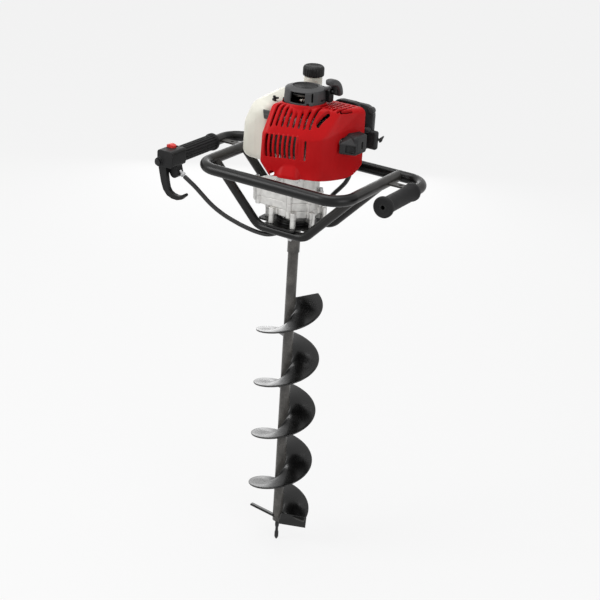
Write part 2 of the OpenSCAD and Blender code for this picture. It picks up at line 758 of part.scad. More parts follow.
cable_sides = 10;
cable_last = len(cable_route) - 1;
function cable_way(i) = unit(cable_route[min(i + 1, cable_last)] - cable_route[max(i - 1, 0)]);
function cable_ring(i) = let (t = cable_way(i), x = unit(cross([0.3, 1, 0.2], t)), y = cross(t, x))
  [for (k = [0:cable_sides - 1]) let (a = k * 360 / cable_sides)
    cable_route[i] + cable_r * (cos(a) * x + sin(a) * y)];

module throttle_cable() {
  n = cable_sides;
  points = [for (i = [0:cable_last]) each cable_ring(i)];
  walls = [for (i = [0:cable_last - 1], k = [0:n - 1]) let (a = i * n + k, b = i * n + (k + 1) % n)
    each [[a, b + n, b], [a, a + n, b + n]]];
  far = cable_last * n;
  ends = [for (k = [1:n - 2]) each [[0, k, k + 1], [far, far + k + 1, far + k]]];
  color("black") head() polyhedron(points, concat(walls, ends));
}

// Engine

crank_seat_r = 17.5;
crank_seat_h = 11;
barrel_r = 38;
crankcase_flange = 5;
head_x = 112;

module crankcase() color("gainsboro") head() difference() {
  union() {
    translate([0, 0, case_top]) linear_extrude(crankcase_flange) {
      circle(clutch_r + case_wall + 1);
      for (p = neck_ears) translate(p) circle(6);
    }
    translate([0, 0, case_top]) cylinder(r = barrel_r, h = crankcase_h);
    translate([0, -30, cylinder_h - 32]) cube([45, 60, 64]);
    for (a = [-210:30:-60]) rotate(a) translate([barrel_r - 2, -1.5, case_top + 9])
      cube([6, 3, crankcase_h - 12]);
  }
  translate([0, 0, case_top - 1]) cylinder(r = crank_r + 2, h = crankcase_h + 2);
  for (z = [case_top - 1, case_top + crankcase_h - crank_seat_h - 1])
    translate([0, 0, z]) cylinder(r = crank_seat_r, h = crank_seat_h + 2);
  for (p = neck_ears) translate([p.x, p.y, case_top - 1]) cylinder(r = 2.5 + fit, h = crankcase_flange);
}

module crankshaft() color("silver") head() {
  translate([0, 0, crank_low]) cylinder(r = crank_r, h = fan_top + 2 - crank_low);
  translate([0, 0, shoe_low + shoe_h + gap]) cylinder(r = 12, h = 2);
}

module flywheel_fan() color("gray") head() difference() {
  union() {
    translate([0, 0, fan_low]) cylinder(r = fan_r, h = 5);
    translate([0, 0, fan_low]) cylinder(r = 15, h = fan_top - fan_low);
    for (a = [0:30:330]) rotate(a) translate([20, -1.25, fan_low])
      cube([fan_r - 20.5, 2.5, fan_top - fan_low - 3]);
  }
  translate([0, 0, fan_low - 1]) cylinder(r = crank_r + fit, h = 60);
}

fin_pitch = 6.5;

module fin_plate(size) rotate([0, 90, 0]) linear_extrude(2) round_rect(size, size, 12);

module cylinder_block() {
  translate([45 + gap, 0, cylinder_h]) rotate([0, 90, 0]) cylinder(r = 25, h = head_x - 45 - gap);
  for (i = [0:fin_count - 1]) translate([49 + i * fin_pitch, 0, cylinder_h]) fin_plate(66);
  translate([head_x - 3, 0, cylinder_h]) rotate([0, 90, 0]) cylinder(r = 14, h = 6);
}

plug_seat_r = 6;

module engine_cylinder() color("silver") head() difference() {
  cylinder_block();
  translate([head_x - 8, 0, cylinder_h]) rotate([0, 90, 0]) cylinder(r = plug_seat_r + fit, h = 20);
}

module spark_plug() color("white") head() translate([head_x, 0, cylinder_h]) rotate([0, 90, 0]) {
  translate([0, 0, -7]) cylinder(r = plug_seat_r, h = 12);
  translate([0, 0, 3 + fit]) hexagon(16, 7);
  translate([0, 0, 8]) cylinder(r = 5, h = 14);
}

// Shroud: two blocks that meet at a corner of the front face, each the skin over a few spheres
front_corner = [-44, -89];
front_way = unit([97, 34]);
front_out = [front_way.y, -front_way.x];
function front_point(s, inward) = front_corner + s * front_way - inward * front_out;
shroud_low = case_top + crankcase_flange + gap;
crease_h = 217;
nose_r = 18;
nose_x = 126;
shroud_rear = 53;

module skin(points, fn = hull_fn)
  hull() for (p = points) translate([p.x, p.y, p.z]) sphere(r = p[3], $fn = fn);

module shroud_block(grow) {
  e = shroud_edge;
  r = e + grow;
  left = front_point(7, e);
  knee = front_point(99, e);
  middle = front_point(46, e);
  low = shroud_low + e;
  top = shroud_top - e;
  rear = shroud_rear - e;
  skin([
    [left.x, left.y, low + 36, r], [middle.x, middle.y, low, r], [knee.x, knee.y, low, r],
    [left.x, left.y, crease_h, r], [knee.x, knee.y, crease_h, r], [left.x + 3, -40, top, r],
    [knee.x, -36, top, r], [left.x, rear, low + 36, r], [middle.x, rear, low, r], [knee.x, rear, low, r],
    [left.x, rear, top, r], [knee.x, rear, top, r]
  ]);
}

module shroud_nose(grow) {
  e = shroud_edge;
  r = e + grow;
  nose = nose_r + grow;
  knee = front_point(99, e) + [-6, 1];
  low = shroud_low + e;
  top = shroud_top - e;
  rear = shroud_rear - e;
  nose_at = nose_x - nose_r;
  skin([
    [knee.x, knee.y, low, r], [knee.x, knee.y, crease_h, r], [knee.x, -36, top, r],
    [knee.x, rear, low, r], [knee.x, rear, top, r],
    [nose_at, -27, low + 14, nose], [nose_at, 33, low + 22, nose],
    [nose_at + 4, -32, crease_h + 24, nose - 4], [nose_at - 6, -20, top - 7, nose - 4],
    [nose_at + 2, 36, top - 9, nose - 4]
  ]);
}

// Round bulge and foot below the grille
module shroud_bulge(grow) {
  r = shroud_edge + grow;
  low = shroud_low + shroud_edge;
  skin([for (x = [8, 36], h = [low, low + 20]) [x, h > low ? -70 + x / 3 : -73 + x / 3, h, r]]);
  skin([for (h = [low - 1, low + 16]) [56, -48, h, r]]);
}

module shroud_body(grow) {
  shroud_block(grow);
  shroud_nose(grow);
  shroud_bulge(grow);
}

// Flat frame on the front face: x along the face, y up, z outward
module on_front() multmatrix(frame_matrix(
  concat(front_way, 0), [0, 0, 1], concat(front_out, 0), concat(front_corner, 0))) children();

module grille_slots() {
  on_front() linear_extrude(20, center = true) {
    for (i = [0:8]) slot([13 + i * 8.7, 167], [13 + i * 8.7, 211], 2);
    slot([97, 168], [97, 204], 1.8);
  }
  // Slots up the sloping top, leaning to the cylinder
  translate([0, 0, crease_h]) linear_extrude(60) {
    for (i = [0:7]) slot(front_point(16 + i * 8.7, 9), front_point(29 + i * 8.7, 34), 2);
    slot(front_point(90, 10), front_point(100, 28), 3.5);
  }
  translate([0, 0, crease_h + 24]) linear_extrude(60) {
    for (i = [0:4]) slot([60 + i * 8, -22], [70 + i * 8, 8], 1.8);
    slot([92, -36], [100, -14], 1.8);
  }
}

plug_hole_r = 15;

module shroud() color("firebrick") head() difference() {
  shroud_body(0);
  shroud_body(-shroud_wall);
  // Open underside, intake side and tank side
  translate([0, 0, shroud_low - 10]) linear_extrude(62) polygon([
    [-44, -74], [52, -40], [98, -30], [98, 34], [52, 46], [-44, 46]
  ]);
  translate([40, 30, shroud_low + 14]) cube([60, 40, 100]);
  translate([-60, -24, shroud_low + 40]) cube([30, 62, 88]);
  translate([0, 0, shroud_top - 30]) cylinder(r = starter_r - 4, h = 40);
  translate([head_x, 0, cylinder_h]) rotate([0, 90, 0]) cylinder(r = plug_hole_r, h = 40);
  grille_slots($fn = 16);
}

cover_out = 14;

// Spark plug cover over the shroud's nose: a long lobe with a scooped face and a deep lobe with a slot
module plug_cover() color("dimgray") head() difference() {
  union() {
    translate([100, 0, 211]) rotate([90, 0, 90]) linear_extrude(nose_x + cover_out - 6 - 100)
      translate([-26, 0]) round_rect(56, 30, 5);
    translate([100, 0, 209]) rotate([90, 0, 90]) linear_extrude(nose_x + cover_out - 100)
      translate([20, 0]) round_rect(50, 60, 12);
  }
  shroud_nose(gap);
  translate([head_x, 0, cylinder_h]) rotate([0, 90, 0]) cylinder(r = 11, h = 24);
  translate([nose_x + cover_out + 10, -30, 211]) cylinder(r = 20, h = 22, center = true);
  translate([nose_x + cover_out - 5, 33, 200]) rotate([90, 0, 90]) linear_extrude(10)
    slot([0, -4], [0, 6], 2.5);
}

// Muffler behind the grille, with its duct to the exhaust port
module muffler() color("silver") head() {
  back = -44;
  translate([0, 0, 166]) linear_extrude(48) polygon([
    [-28, back], front_point(18, 9), front_point(94, 9), [44, back]
  ]);
  translate([40, -49, 186]) cube([26, 15.6, 28]);
}

// Recoil starter

pulley_h = 8;
disc_r = 27;
post_r = 6;

module starter_cone(grow) rotate_extrude() polygon([
  [0, starter_low + fit], [starter_r + grow, starter_low + fit], [starter_r + grow, starter_low + 6],
  [starter_r - 2.5 + grow, starter_top - 8], [starter_r - 4.5 + grow, starter_top - 2],
  [starter_r - 7 + grow, starter_top], [0, starter_top]
]);

module starter_housing() color("dimgray") head() difference() {
  starter_cone(0);
  difference() {
    rotate_extrude() polygon([
      [0, starter_low - 1], [starter_r - 4, starter_low - 1], [starter_r - 4, starter_low + 5],
      [starter_r - 6.5, starter_top - 7], [0, starter_top - 7]
    ]);
    translate([0, 0, starter_low + 14]) cylinder(r = post_r, h = starter_h);
  }
  translate([0, 0, starter_top - 3]) cylinder(r = disc_r + fit, h = 4);
  // Cooling windows round the side
  rotate(-90) rotate_extrude(angle = 30) translate([starter_r - 12, starter_low + 9]) square([20, 20]);
  for (a = [-40, 140, 200]) rotate(a) translate([starter_r - 12, -3, starter_low + 7]) cube([20, 6, 22]);
  rod([20, rope_y, rope_h], [80, rope_y, rope_h], rope_r + 1);
}

module starter_disc() color("black") head() translate([0, 0, starter_top - 3 + fit])
  cylinder(r = disc_r, h = 1.5);

module starter_pulley() color("silver") head() translate([0, 0, rope_h - pulley_h / 2]) difference() {
  rotate_extrude() polygon([
    [0, 0], [pulley_r + 5, 0], [pulley_r + 5, 1.5], [pulley_r, 2.5], [pulley_r, pulley_h - 2.5],
    [pulley_r + 5, pulley_h - 1.5], [pulley_r + 5, pulley_h], [0, pulley_h]
  ]);
  translate([0, 0, -1]) cylinder(r = post_r + fit, h = pulley_h + 2);
  for (a = [0:60:300]) rotate(a) translate([17, 0, -1]) cylinder(r = 5, h = pulley_h + 2);
}

// Flat spiral spring below the pulley
spring_h = 6;
spring_turns = 5;
spring_steps = 24;
spring_rise = 3;
spring_t = 0.8;
function spring_point(i, off) = let (a = i * 360 / spring_steps)
  (post_r + 0.5 + spring_rise * i / spring_steps + off) * [cos(a), sin(a)];

module recoil_spring() color("silver") head() {
  last = spring_turns * spring_steps;
  translate([0, 0, rope_h - pulley_h / 2 - spring_h - gap]) linear_extrude(spring_h) polygon(concat(
    [for (i = [0:last]) spring_point(i, 0)], [for (i = [last:-1:0]) spring_point(i, spring_t)]));
}

guide_x = 54;

module rope_guide() color("black") head() difference() {
  translate([0, rope_y, rope_h - 8]) rotate([0, 90, 0]) linear_extrude(guide_x) round_rect(30, 18, 5);
  translate([0, 0, -20]) starter_cone(gap);
  starter_cone(gap);
  cylinder(r = starter_r - 8, h = 500);
  rod([0, rope_y, rope_h], [80, rope_y, rope_h], rope_r + 0.5);
  translate([0, 0, shroud_top - 40 + gap]) linear_extrude(40) square(200, center = true);
}

handle_at_x = 64;

// Arched pull handle
module starter_handle() color("dimgray") head() difference() {
  union() {
    multmatrix(frame_matrix([0, 1, 0], [0, 0, 1], [1, 0, 0], [handle_at_x, 4, rope_h - 10])) rotate(3)
      rotate_extrude(angle = 97) translate([37, 0]) circle(7.5);
    rod([guide_x + gap, rope_y, rope_h], [handle_at_x, rope_y, rope_h], 5);
    rod([handle_at_x, rope_y, rope_h - 7], [handle_at_x, rope_y, rope_h + 16], 6);
  }
  rod([0, rope_y, rope_h], [handle_at_x - 2, rope_y, rope_h], rope_r + fit);
}

module starter_rope() color("white") head()
  rod([16, rope_y, rope_h], [handle_at_x - 2 - fit, rope_y, rope_h], rope_r);

// Fuel tank: a tall block beside the engine with an arm behind it
neck_at = [-30, 88];
neck_top = 311;
neck_r = 18;

module tank_form(shrink) {
  r = 16 - shrink;
  arm = 14 - shrink;
  skin([for (x = [-112, -66]) each [
    [x, -29, 145, r], [x, 90, 145, r], [x, -29, 247, r], [x, 90, 251, r]]], tank_fn);
  skin([for (x = [-70, -4]) each [
    [x, 80, 150, arm], [x, 93, 150, arm], [x, 80, 246, arm], [x, 93, 246, arm]]], tank_fn);
  // Shoulder below the filler neck, and a rib along the underside
  translate([neck_at.x, neck_at.y, 0]) hull() {
    translate([0, 0, 240]) cylinder(r = neck_r + 5 - shrink, h = 20);
    translate([0, 0, 240]) cylinder(r = neck_r + 1.4 - shrink, h = 32);
  }
  skin([for (y = [-20, 80]) [-89, y, 141, 14 - shrink]], tank_fn);
}

module fuel_tank() color("ivory") head() difference() {
  union() {
    tank_form(0);
    translate([neck_at.x, neck_at.y, 250]) cylinder(r = neck_r, h = neck_top - 250);
  }
  tank_form(tank_wall);
  translate([neck_at.x, neck_at.y, 250]) cylinder(r = neck_r - tank_wall, h = 100);
}

module tank_cap() color("black") head() translate([neck_at.x, neck_at.y, neck_top - 8]) difference() {
  union() {
    linear_extrude(cap_h - 2) {
      circle(cap_d / 2 - 1.2);
      for (a = [0:15:345]) rotate(a) translate([cap_d / 2 - 1.2, 0]) circle(1.2);
    }
    translate([0, 0, cap_h - 2]) cylinder(r1 = cap_d / 2 - 1.2, r2 = cap_d / 2 - 3, h = 2);
  }
  translate([0, 0, -1]) cylinder(r = neck_r + gap, h = 9 + gap);
}

module tank_bracket() color("gray") head() {
  translate([-49.7, -18, 170]) cube([1.4, 50, 84]);
  translate([-48.8, 0, 200]) rotate([0, 90, 0]) cylinder(r = 7, h = 48.8 - barrel_r - 4 - gap);
}

module fuel_hose() color("dimgray") head()
  bent_tube([[10 + gap, 87, 186], [24, 87, 186], [24, 60, 196], [52 - gap, 60, 196]], 7, 3, 1, 0.05);

// Carburettor and air filter on the intake side

carb_x = 70;
carb_low = 186;

module carburettor() color("silver") head() difference() {
  union() {
    translate([carb_x - 18, 45, carb_low]) cube([36, 25, 40]);
    translate([carb_x, 33 + gap, cylinder_h]) rotate([-90, 0, 0]) cylinder(r = 15, h = 14);
    translate([carb_x - 4, 62, 164.3]) cube([26, 22 - 14, 2.5]);
    translate([carb_x + 2, 66, 164.3]) cube([20, 14, 2.5]);
    translate([carb_x - 4, 62, 164.3]) cube([4, 8, carb_low - 163]);
    translate([carb_x + 10, 54, carb_low - 14]) cylinder(r = 3, h = 15);
  }
  translate([carb_x, 20, cylinder_h]) rotate([-90, 0, 0]) cylinder(r = 9, h = 60);
}

module throttle_cam() color("silver") head() translate([carb_x + 10, 54, carb_low - 11]) linear_extrude(6)
  difference() {
    union() {
      circle(9);
      link([0, 0], 6, [8, 11], 3);
    }
    circle(3 + fit);
  }

filter_x = 76;
filter_h = 217;
filter_size = [93, 90];
choke_pin_r = 2.5;

module on_filter(y, depth) translate([filter_x, y, filter_h]) rotate([-90, 0, 0])
  linear_extrude(depth) children();

module filter_base() color("black") head() difference() {
  union() {
    on_filter(70 + gap, 10) round_rect(filter_size.x, filter_size.y, 14);
    translate([112, 66, 178]) cube([38, 14 + gap, 40]);
    translate([124, 80, 178]) cube([26, 12, 40]);
    translate([149, 82, 200]) rotate([0, 90, 0]) cylinder(r = choke_pin_r, h = 9);
  }
  translate([carb_x, 60, cylinder_h]) rotate([-90, 0, 0]) cylinder(r = 9, h = 30);
}

module filter_element() color("dimgray") head() on_filter(80 + 2 * gap, 16)
  round_rect(filter_size.x - 12, filter_size.y - 12, 9);

module filter_cover() color("dimgray") head() difference() {
  on_filter(80 + 2 * gap, 30) round_rect(filter_size.x, filter_size.y, 14);
  on_filter(80, 27) round_rect(filter_size.x - 6, filter_size.y - 6, 11);
}

module choke_lever() color("black") head() translate([150 + gap, 82, 200]) rotate([90, 0, 90])
  linear_extrude(5) difference() {
    link([0, 0], 6, [18, 8], 4);
    circle(choke_pin_r + fit);
  }

pilot_point();
auger_shaft();
auger_flight();
cutting_blade();
wing_blade();
coupling_sleeve();
coupling_bolt();
output_shaft();
output_gear();
intermediate_shaft();
intermediate_gear();
input_pinion();
clutch_drum();
clutch_shoes();
bearings();
output_seal();
gear_case_lower();
gear_case_middle();
gear_case_upper();
case_bolts();
base_plate();
leg_front();
leg_rear();
hoop_tube();
handlebar_tube();
brace_left();
brace_right();
grip_left();
grip_right();
throttle_housing();
throttle_lever();
lever_pin();
stop_switch();
cable_adjuster();
throttle_cable();
crankcase();
crankshaft();
flywheel_fan();
engine_cylinder();
spark_plug();
plug_cover();
muffler();
shroud();
starter_housing();
starter_disc();
starter_pulley();
recoil_spring();
rope_guide();
starter_handle();
starter_rope();
fuel_tank();
tank_cap();
tank_bracket();
fuel_hose();
carburettor();
throttle_cam();
filter_base();
filter_element();
filter_cover();
choke_lever();
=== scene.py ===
import math
import bmesh
import bpy
from mathutils import Matrix, Vector


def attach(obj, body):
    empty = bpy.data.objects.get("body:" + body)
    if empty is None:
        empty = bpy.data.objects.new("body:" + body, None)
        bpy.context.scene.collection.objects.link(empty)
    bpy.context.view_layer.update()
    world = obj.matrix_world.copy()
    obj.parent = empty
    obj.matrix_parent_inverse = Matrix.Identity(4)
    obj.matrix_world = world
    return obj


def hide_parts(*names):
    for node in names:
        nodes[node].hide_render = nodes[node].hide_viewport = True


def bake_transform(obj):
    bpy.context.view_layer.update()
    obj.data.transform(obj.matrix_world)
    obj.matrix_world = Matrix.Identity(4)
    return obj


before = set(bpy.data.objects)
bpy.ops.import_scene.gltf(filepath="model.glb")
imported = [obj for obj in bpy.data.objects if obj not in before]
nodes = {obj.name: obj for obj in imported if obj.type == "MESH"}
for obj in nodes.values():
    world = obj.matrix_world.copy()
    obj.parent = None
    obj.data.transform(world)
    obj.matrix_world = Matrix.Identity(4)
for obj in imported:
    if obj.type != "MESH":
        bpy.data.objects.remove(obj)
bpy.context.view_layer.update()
scene = bpy.context.scene
mm = 0.001
headHeight = 0.840  # underside of the base plate, from which the power head is measured
print("frame loaded")


# sRGB hex to the linear colour that shaders want
def hexLinear(code):
    channels = [int(code[i:i + 2], 16) / 255 for i in (1, 3, 5)]
    return [c / 12.92 if c <= 0.04045 else ((c + 0.055) / 1.055) ** 2.4 for c in channels] + [1.0]


# add a node with its settings, then link sockets into it
def addNode(tree, kind, settings=None, links=None):
    node = tree.nodes.new(kind)
    for key, value in (settings or {}).items():
        if isinstance(key, int) or key in node.inputs:
            node.inputs[key].default_value = value
        else:
            setattr(node, key, value)
    for key, socket in (links or {}).items():
        tree.links.new(socket, node.inputs[key])
    return node


# patterns are sized in millimetres: a noise of scale 1 has features about a metre apart
def perMetre(sizeMm):
    return 1.0 / (sizeMm * mm)


# where the noise starts and stops counting for tint and gloss, how sharp an edge has to be to wear, and the
# detail of mottle and grain
pattern = {"tint": (0.3, 0.7), "gloss": (0.25, 0.75), "edge": (0.53, 0.62), "detail": (4.0, 3.0)}


# one finish: mottled colour, worn edges, uneven gloss and a fine relief, all by object coordinates
def makeFinish(name, tints, roughness, sizesMm, relief, wear, settings):
    mat = bpy.data.materials.new(name)
    mat.use_nodes = True
    tree = mat.node_tree
    shader = tree.nodes["Principled BSDF"]
    for socket, value in settings.items():
        shader.inputs[socket].default_value = value
    place = addNode(tree, "ShaderNodeTexCoord").outputs["Object"]
    noises = [
        addNode(tree, "ShaderNodeTexNoise", {"Scale": perMetre(size), "Detail": detail}, {"Vector": place})
        for size, detail in zip(sizesMm, pattern["detail"])]
    mottle, grain = (noise.outputs["Fac"] for noise in noises)
    tint = addNode(tree, "ShaderNodeValToRGB", links={"Fac": mottle})
    for stop, position, tone in zip(tint.color_ramp.elements, pattern["tint"], tints):
        stop.position = position
        stop.color = hexLinear(tone)
    # edges that hands and soil rub show the worn colour, in patches
    wornColour, wornShare = wear
    edge = addNode(
        tree, "ShaderNodeMapRange",
        {"From Min": pattern["edge"][0], "From Max": pattern["edge"][1], "To Min": 0.0, "To Max": wornShare},
        {"Value": addNode(tree, "ShaderNodeNewGeometry").outputs["Pointiness"]})
    patch = addNode(tree, "ShaderNodeMath", {"operation": "MULTIPLY"}, {0: edge.outputs["Result"], 1: mottle})
    colour = addNode(
        tree, "ShaderNodeMix", {"data_type": "RGBA", "B": hexLinear(wornColour)},
        {"Factor": patch.outputs[0], "A": tint.outputs["Color"]})
    tree.links.new(colour.outputs["Result"], shader.inputs["Base Color"])
    gloss = addNode(
        tree, "ShaderNodeMapRange",
        {"From Min": pattern["gloss"][0], "From Max": pattern["gloss"][1],
         "To Min": roughness[0], "To Max": roughness[1]},
        {"Value": mottle})
    tree.links.new(gloss.outputs["Result"], shader.inputs["Roughness"])
    depth, strength = relief
    bump = addNode(tree, "ShaderNodeBump", {"Strength": strength, "Distance": depth * mm}, {"Height": grain})
    tree.links.new(bump.outputs["Normal"], shader.inputs["Normal"])
    return mat


# each finish: dark and light tint, roughness from and to, mottle and grain in mm, depth of the relief in mm
# and its strength, worn colour and its share, and the shader's own values
finishes = {
    # stoved enamel on steel tube: deep black, soft gloss, faint orange peel, grey where it is rubbed
    "blackEnamel": (
        ("#050505", "#0a0a0a"), (0.3, 0.38), (30, 2.5), (0.08, 0.25), ("#55524e", 0.9),
        {"IOR": 1.5, "Specular IOR Level": 0.28}),
    # the same enamel on the drill: glossier in patches, rubbed to steel grey along its edges
    "drillEnamel": (
        ("#060606", "#0e0e0e"), (0.18, 0.32), (22, 3), (0.1, 0.3), ("#6a6763", 1.0),
        {"IOR": 1.5, "Specular IOR Level": 0.4}),
    # moulded ABS, self-coloured red: even colour, soft gloss
    "redAbs": (
        ("#b0070c", "#bb090f"), (0.42, 0.52), (40, 1.2), (0.05, 0.25), ("#d2494c", 0.8),
        {"IOR": 1.5, "Specular IOR Level": 0.18}),
    # blow-moulded polyethylene: milky and waxy, a broad soft shine
    "milkyPolyethylene": (
        ("#d3d1c5", "#dfddd1"), (0.38, 0.48), (60, 3), (0.1, 0.2), ("#eeece4", 0.5),
        {"IOR": 1.51}),
    # glass-filled nylon: dark grey with a spark-eroded grain
    "greyNylon": (
        ("#343435", "#404041"), (0.42, 0.55), (25, 1.0), (0.08, 0.4), ("#6d6d6c", 0.9),
        {"IOR": 1.53, "Specular IOR Level": 0.32}),
    # the same nylon in charcoal, for the plug cover and the choke's block
    "charcoalNylon": (
        ("#1a1a1b", "#232324"), (0.42, 0.55), (25, 1.0), (0.08, 0.4), ("#4c4c4c", 0.9),
        {"IOR": 1.53, "Specular IOR Level": 0.28}),
    # and in black: cap, throttle, filter base and small fittings
    "blackNylon": (
        ("#0c0c0d", "#141415"), (0.4, 0.52), (25, 1.0), (0.08, 0.4), ("#3a3a3a", 0.9),
        {"IOR": 1.53, "Specular IOR Level": 0.24}),
    # pressure-cast aluminium, shot-blasted: pale, satin, faintly mottled
    "castAluminium": (
        ("#c6c5c2", "#e0dfdc"), (0.38, 0.52), (14, 1.4), (0.12, 0.5), ("#f0efed", 0.8),
        {"Metallic": 0.85}),
    # zinc-plated steel: bright, slightly cloudy
    "zincSteel": (
        ("#9c9c9d", "#b8b8b9"), (0.24, 0.36), (6, 0.8), (0.03, 0.3), ("#d5d5d5", 0.6),
        {"Metallic": 1.0}),
    # metal that lives behind the grilles: dull and brownish, and painted shade: darker than the metal is, for
    # the shadow behind the grilles
    "sootAndShadeIron": (
        ("#4b4643", "#615b56"), (0.48, 0.62), (9, 1.2), (0.1, 0.5), ("#857d76", 0.9),
        {"Metallic": 0.8}),
    # ground and hardened steel of gears, shafts and bearings: clean and bright
    "groundSteel": (
        ("#8f8f92", "#a8a8aa"), (0.22, 0.32), (8, 0.6), (0.02, 0.3), ("#c9c9ca", 0.5),
        {"Metallic": 1.0}),
    # moulded rubber: near black, no gloss, fine grain
    "gripRubber": (
        ("#0b0b0c", "#121213"), (0.58, 0.72), (18, 0.9), (0.12, 0.5), ("#2d2d2d", 0.8),
        {"IOR": 1.52, "Specular IOR Level": 0.24}),
    # extruded vinyl sheath: black, smooth, a thin line of light along it
    "vinylSheath": (
        ("#0f0f10", "#161617"), (0.34, 0.44), (30, 1.5), (0.04, 0.3), ("#303030", 0.6),
        {"IOR": 1.53}),
    # red nylon of the stop switch: bright, a little glossy
    "redNylon": (
        ("#c5241f", "#d8332c"), (0.32, 0.42), (10, 0.9), (0.05, 0.3), ("#e2635c", 0.8),
        {"IOR": 1.53}),
    # glazed alumina of the spark plug: white and wet
    "glazedCeramic": (
        ("#e2e1dc", "#f0efea"), (0.08, 0.14), (10, 2), (0.02, 0.2), ("#f6f5f1", 0.3),
        {"IOR": 1.76}),
    # braided polyester rope: off-white and fuzzy, no shine
    "braidedRope": (
        ("#a9a59a", "#d6d2c6"), (0.7, 0.85), (1.5, 0.8), (0.3, 0.8), ("#e2dfd5", 0.6),
        {"IOR": 1.5}),
    # open-cell filter foam: dark and matt, full of pores
    "filterFoam": (
        ("#17181a", "#2b2c2f"), (0.85, 0.95), (1.5, 1.0), (0.6, 1.0), ("#3a3b3e", 0.4),
        {"IOR": 1.5}),
}
made = {name: makeFinish(name, *look) for name, look in finishes.items()}
print("finishes made:", len(made))

nodeFinish = {
    "blackEnamel": [
        "base_plate", "leg_front", "leg_rear", "hoop_tube", "handlebar_tube", "brace_left", "brace_right"],
    "drillEnamel": [
        "pilot_point", "auger_shaft", "auger_flight", "cutting_blade", "wing_blade", "coupling_sleeve"],
    "zincSteel": ["coupling_bolt", "case_bolts", "muffler", "tank_bracket", "cable_adjuster"],
    "groundSteel": [
        "output_shaft", "output_gear", "intermediate_shaft", "intermediate_gear", "input_pinion",
        "clutch_drum", "clutch_shoes", "bearings", "crankshaft"],
    # parts behind the grilles take the colour darkened as painted shade
    "sootAndShadeIron": ["flywheel_fan", "engine_cylinder", "recoil_spring"],
    "castAluminium": [
        "gear_case_lower", "gear_case_middle", "gear_case_upper", "crankcase", "carburettor", "throttle_cam"],
    "gripRubber": ["grip_left", "grip_right", "output_seal"],
    "blackNylon": [
        "throttle_housing", "throttle_lever", "lever_pin", "plug_cover", "starter_disc", "starter_pulley",
        "rope_guide", "tank_cap", "filter_base", "choke_lever"],
    "vinylSheath": ["throttle_cable", "fuel_hose"],
    "greyNylon": ["starter_housing", "starter_handle", "filter_cover"],
    "redAbs": ["shroud"],
    "redNylon": ["stop_switch"],
    "milkyPolyethylene": ["fuel_tank"],
    "glazedCeramic": ["spark_plug"],
    "braidedRope": ["starter_rope"],
    "filterFoam": ["filter_element"],
}
for finish, names in nodeFinish.items():
    for name in names:
        nodes[name].data.materials.clear()
        nodes[name].data.materials.append(made[finish])
print("frame dressed")


# pieces are drawn in millimetres above the base plate's underside, and dressed sets them in place
def toMesh(form):
    bmesh.ops.recalc_face_normals(form, faces=form.faces)
    mesh = bpy.data.meshes.new("form")
    form.to_mesh(mesh)
    form.free()
    return mesh


# skin stretched over balls, each given as x, y, z and radius
def ballSkin(balls, rings=12):
    form = bmesh.new()
    for x, y, z, r in balls:
        for i in range(rings + 1):
            tilt = math.pi * i / rings
            spokes = max(1, round(2 * rings * math.sin(tilt)))
            for k in range(spokes):
                turn = 2 * math.pi * k / spokes
                form.verts.new((
                    x + r * math.sin(tilt) * math.cos(turn), y + r * math.sin(tilt) * math.sin(turn),
                    z + r * math.cos(tilt)))
    bmesh.ops.convex_hull(form, input=form.verts)
    bmesh.ops.delete(form, geom=[v for v in form.verts if not v.link_faces], context="VERTS")
    return toMesh(form)


# balls at the corners of a box
def boxBalls(xs, ys, zs, r):
    return [(x, y, z, r) for x in xs for y in ys for z in zs]


# balls at each height over the corners of a plan
def planBalls(plan, heights, r):
    return [(x, y, z, r) for x, y in plan for z in heights]


# straight block of an outline
def prism(outline, depth, place):
    form = bmesh.new()
    low = [form.verts.new(place @ Vector((u, v, 0))) for u, v in outline]
    high = [form.verts.new(place @ Vector((u, v, depth))) for u, v in outline]
    form.faces.new(low)
    form.faces.new(high)
    for i in range(len(outline)):
        k = (i + 1) % len(outline)
        form.faces.new((low[i], low[k], high[k], high[i]))
    return toMesh(form)


# closed skin through rings of points
def loft(rings):
    form = bmesh.new()
    rows = [[form.verts.new(p) for p in ring] for ring in rings]
    form.faces.new(rows[0])
    form.faces.new(rows[-1])
    count = len(rows[0])
    for a, b in zip(rows, rows[1:]):
        for i in range(count):
            k = (i + 1) % count
            form.faces.new((a[i], a[k], b[k], b[i]))
    return toMesh(form)


core = 0.01  # radius of the ring on which a turned form closes, in mm


# turned form: radius and height along the profile, about the Z axis of its place
def lathe(profile, place, steps=96, closed=True):
    if closed:
        profile = [(core, profile[0][1])] + profile + [(core, profile[-1][1])]
    return loft([[
        place @ Vector((r * math.cos(2 * math.pi * k / steps), r * math.sin(2 * math.pi * k / steps), z))
        for k in range(steps)] for r, z in profile])


# slot between two points, with round ends
def slotOutline(a, b, r, steps=8):
    lean = math.atan2(b[1] - a[1], b[0] - a[0])
    ends = [(a, lean + math.pi / 2), (b, lean - math.pi / 2)]
    return [
        (p[0] + r * math.cos(base + math.pi * i / steps), p[1] + r * math.sin(base + math.pi * i / steps))
        for p, base in ends for i in range(steps + 1)]


# band of even width along a path, with round ends
def ribbon(path, r, steps=8):
    path = [Vector(p) for p in path]
    last = len(path) - 1
    ways = [(path[min(i + 1, last)] - path[max(i - 1, 0)]).normalized() for i in range(last + 1)]
    sides = [Vector((-way.y, way.x)) * r for way in ways]

    def roundEnd(centre, way):
        lean = math.atan2(way.y, way.x) + math.pi / 2
        turns = [lean - math.pi * i / steps for i in range(1, steps)]
        return [centre + Vector((math.cos(t), math.sin(t))) * r for t in turns]

    left = [p + side for p, side in zip(path, sides)]
    right = [p - side for p, side in zip(path, sides)]
    outline = left + roundEnd(path[-1], ways[-1]) + right[::-1] + roundEnd(path[0], -ways[0])
    return [tuple(p) for p in outline]


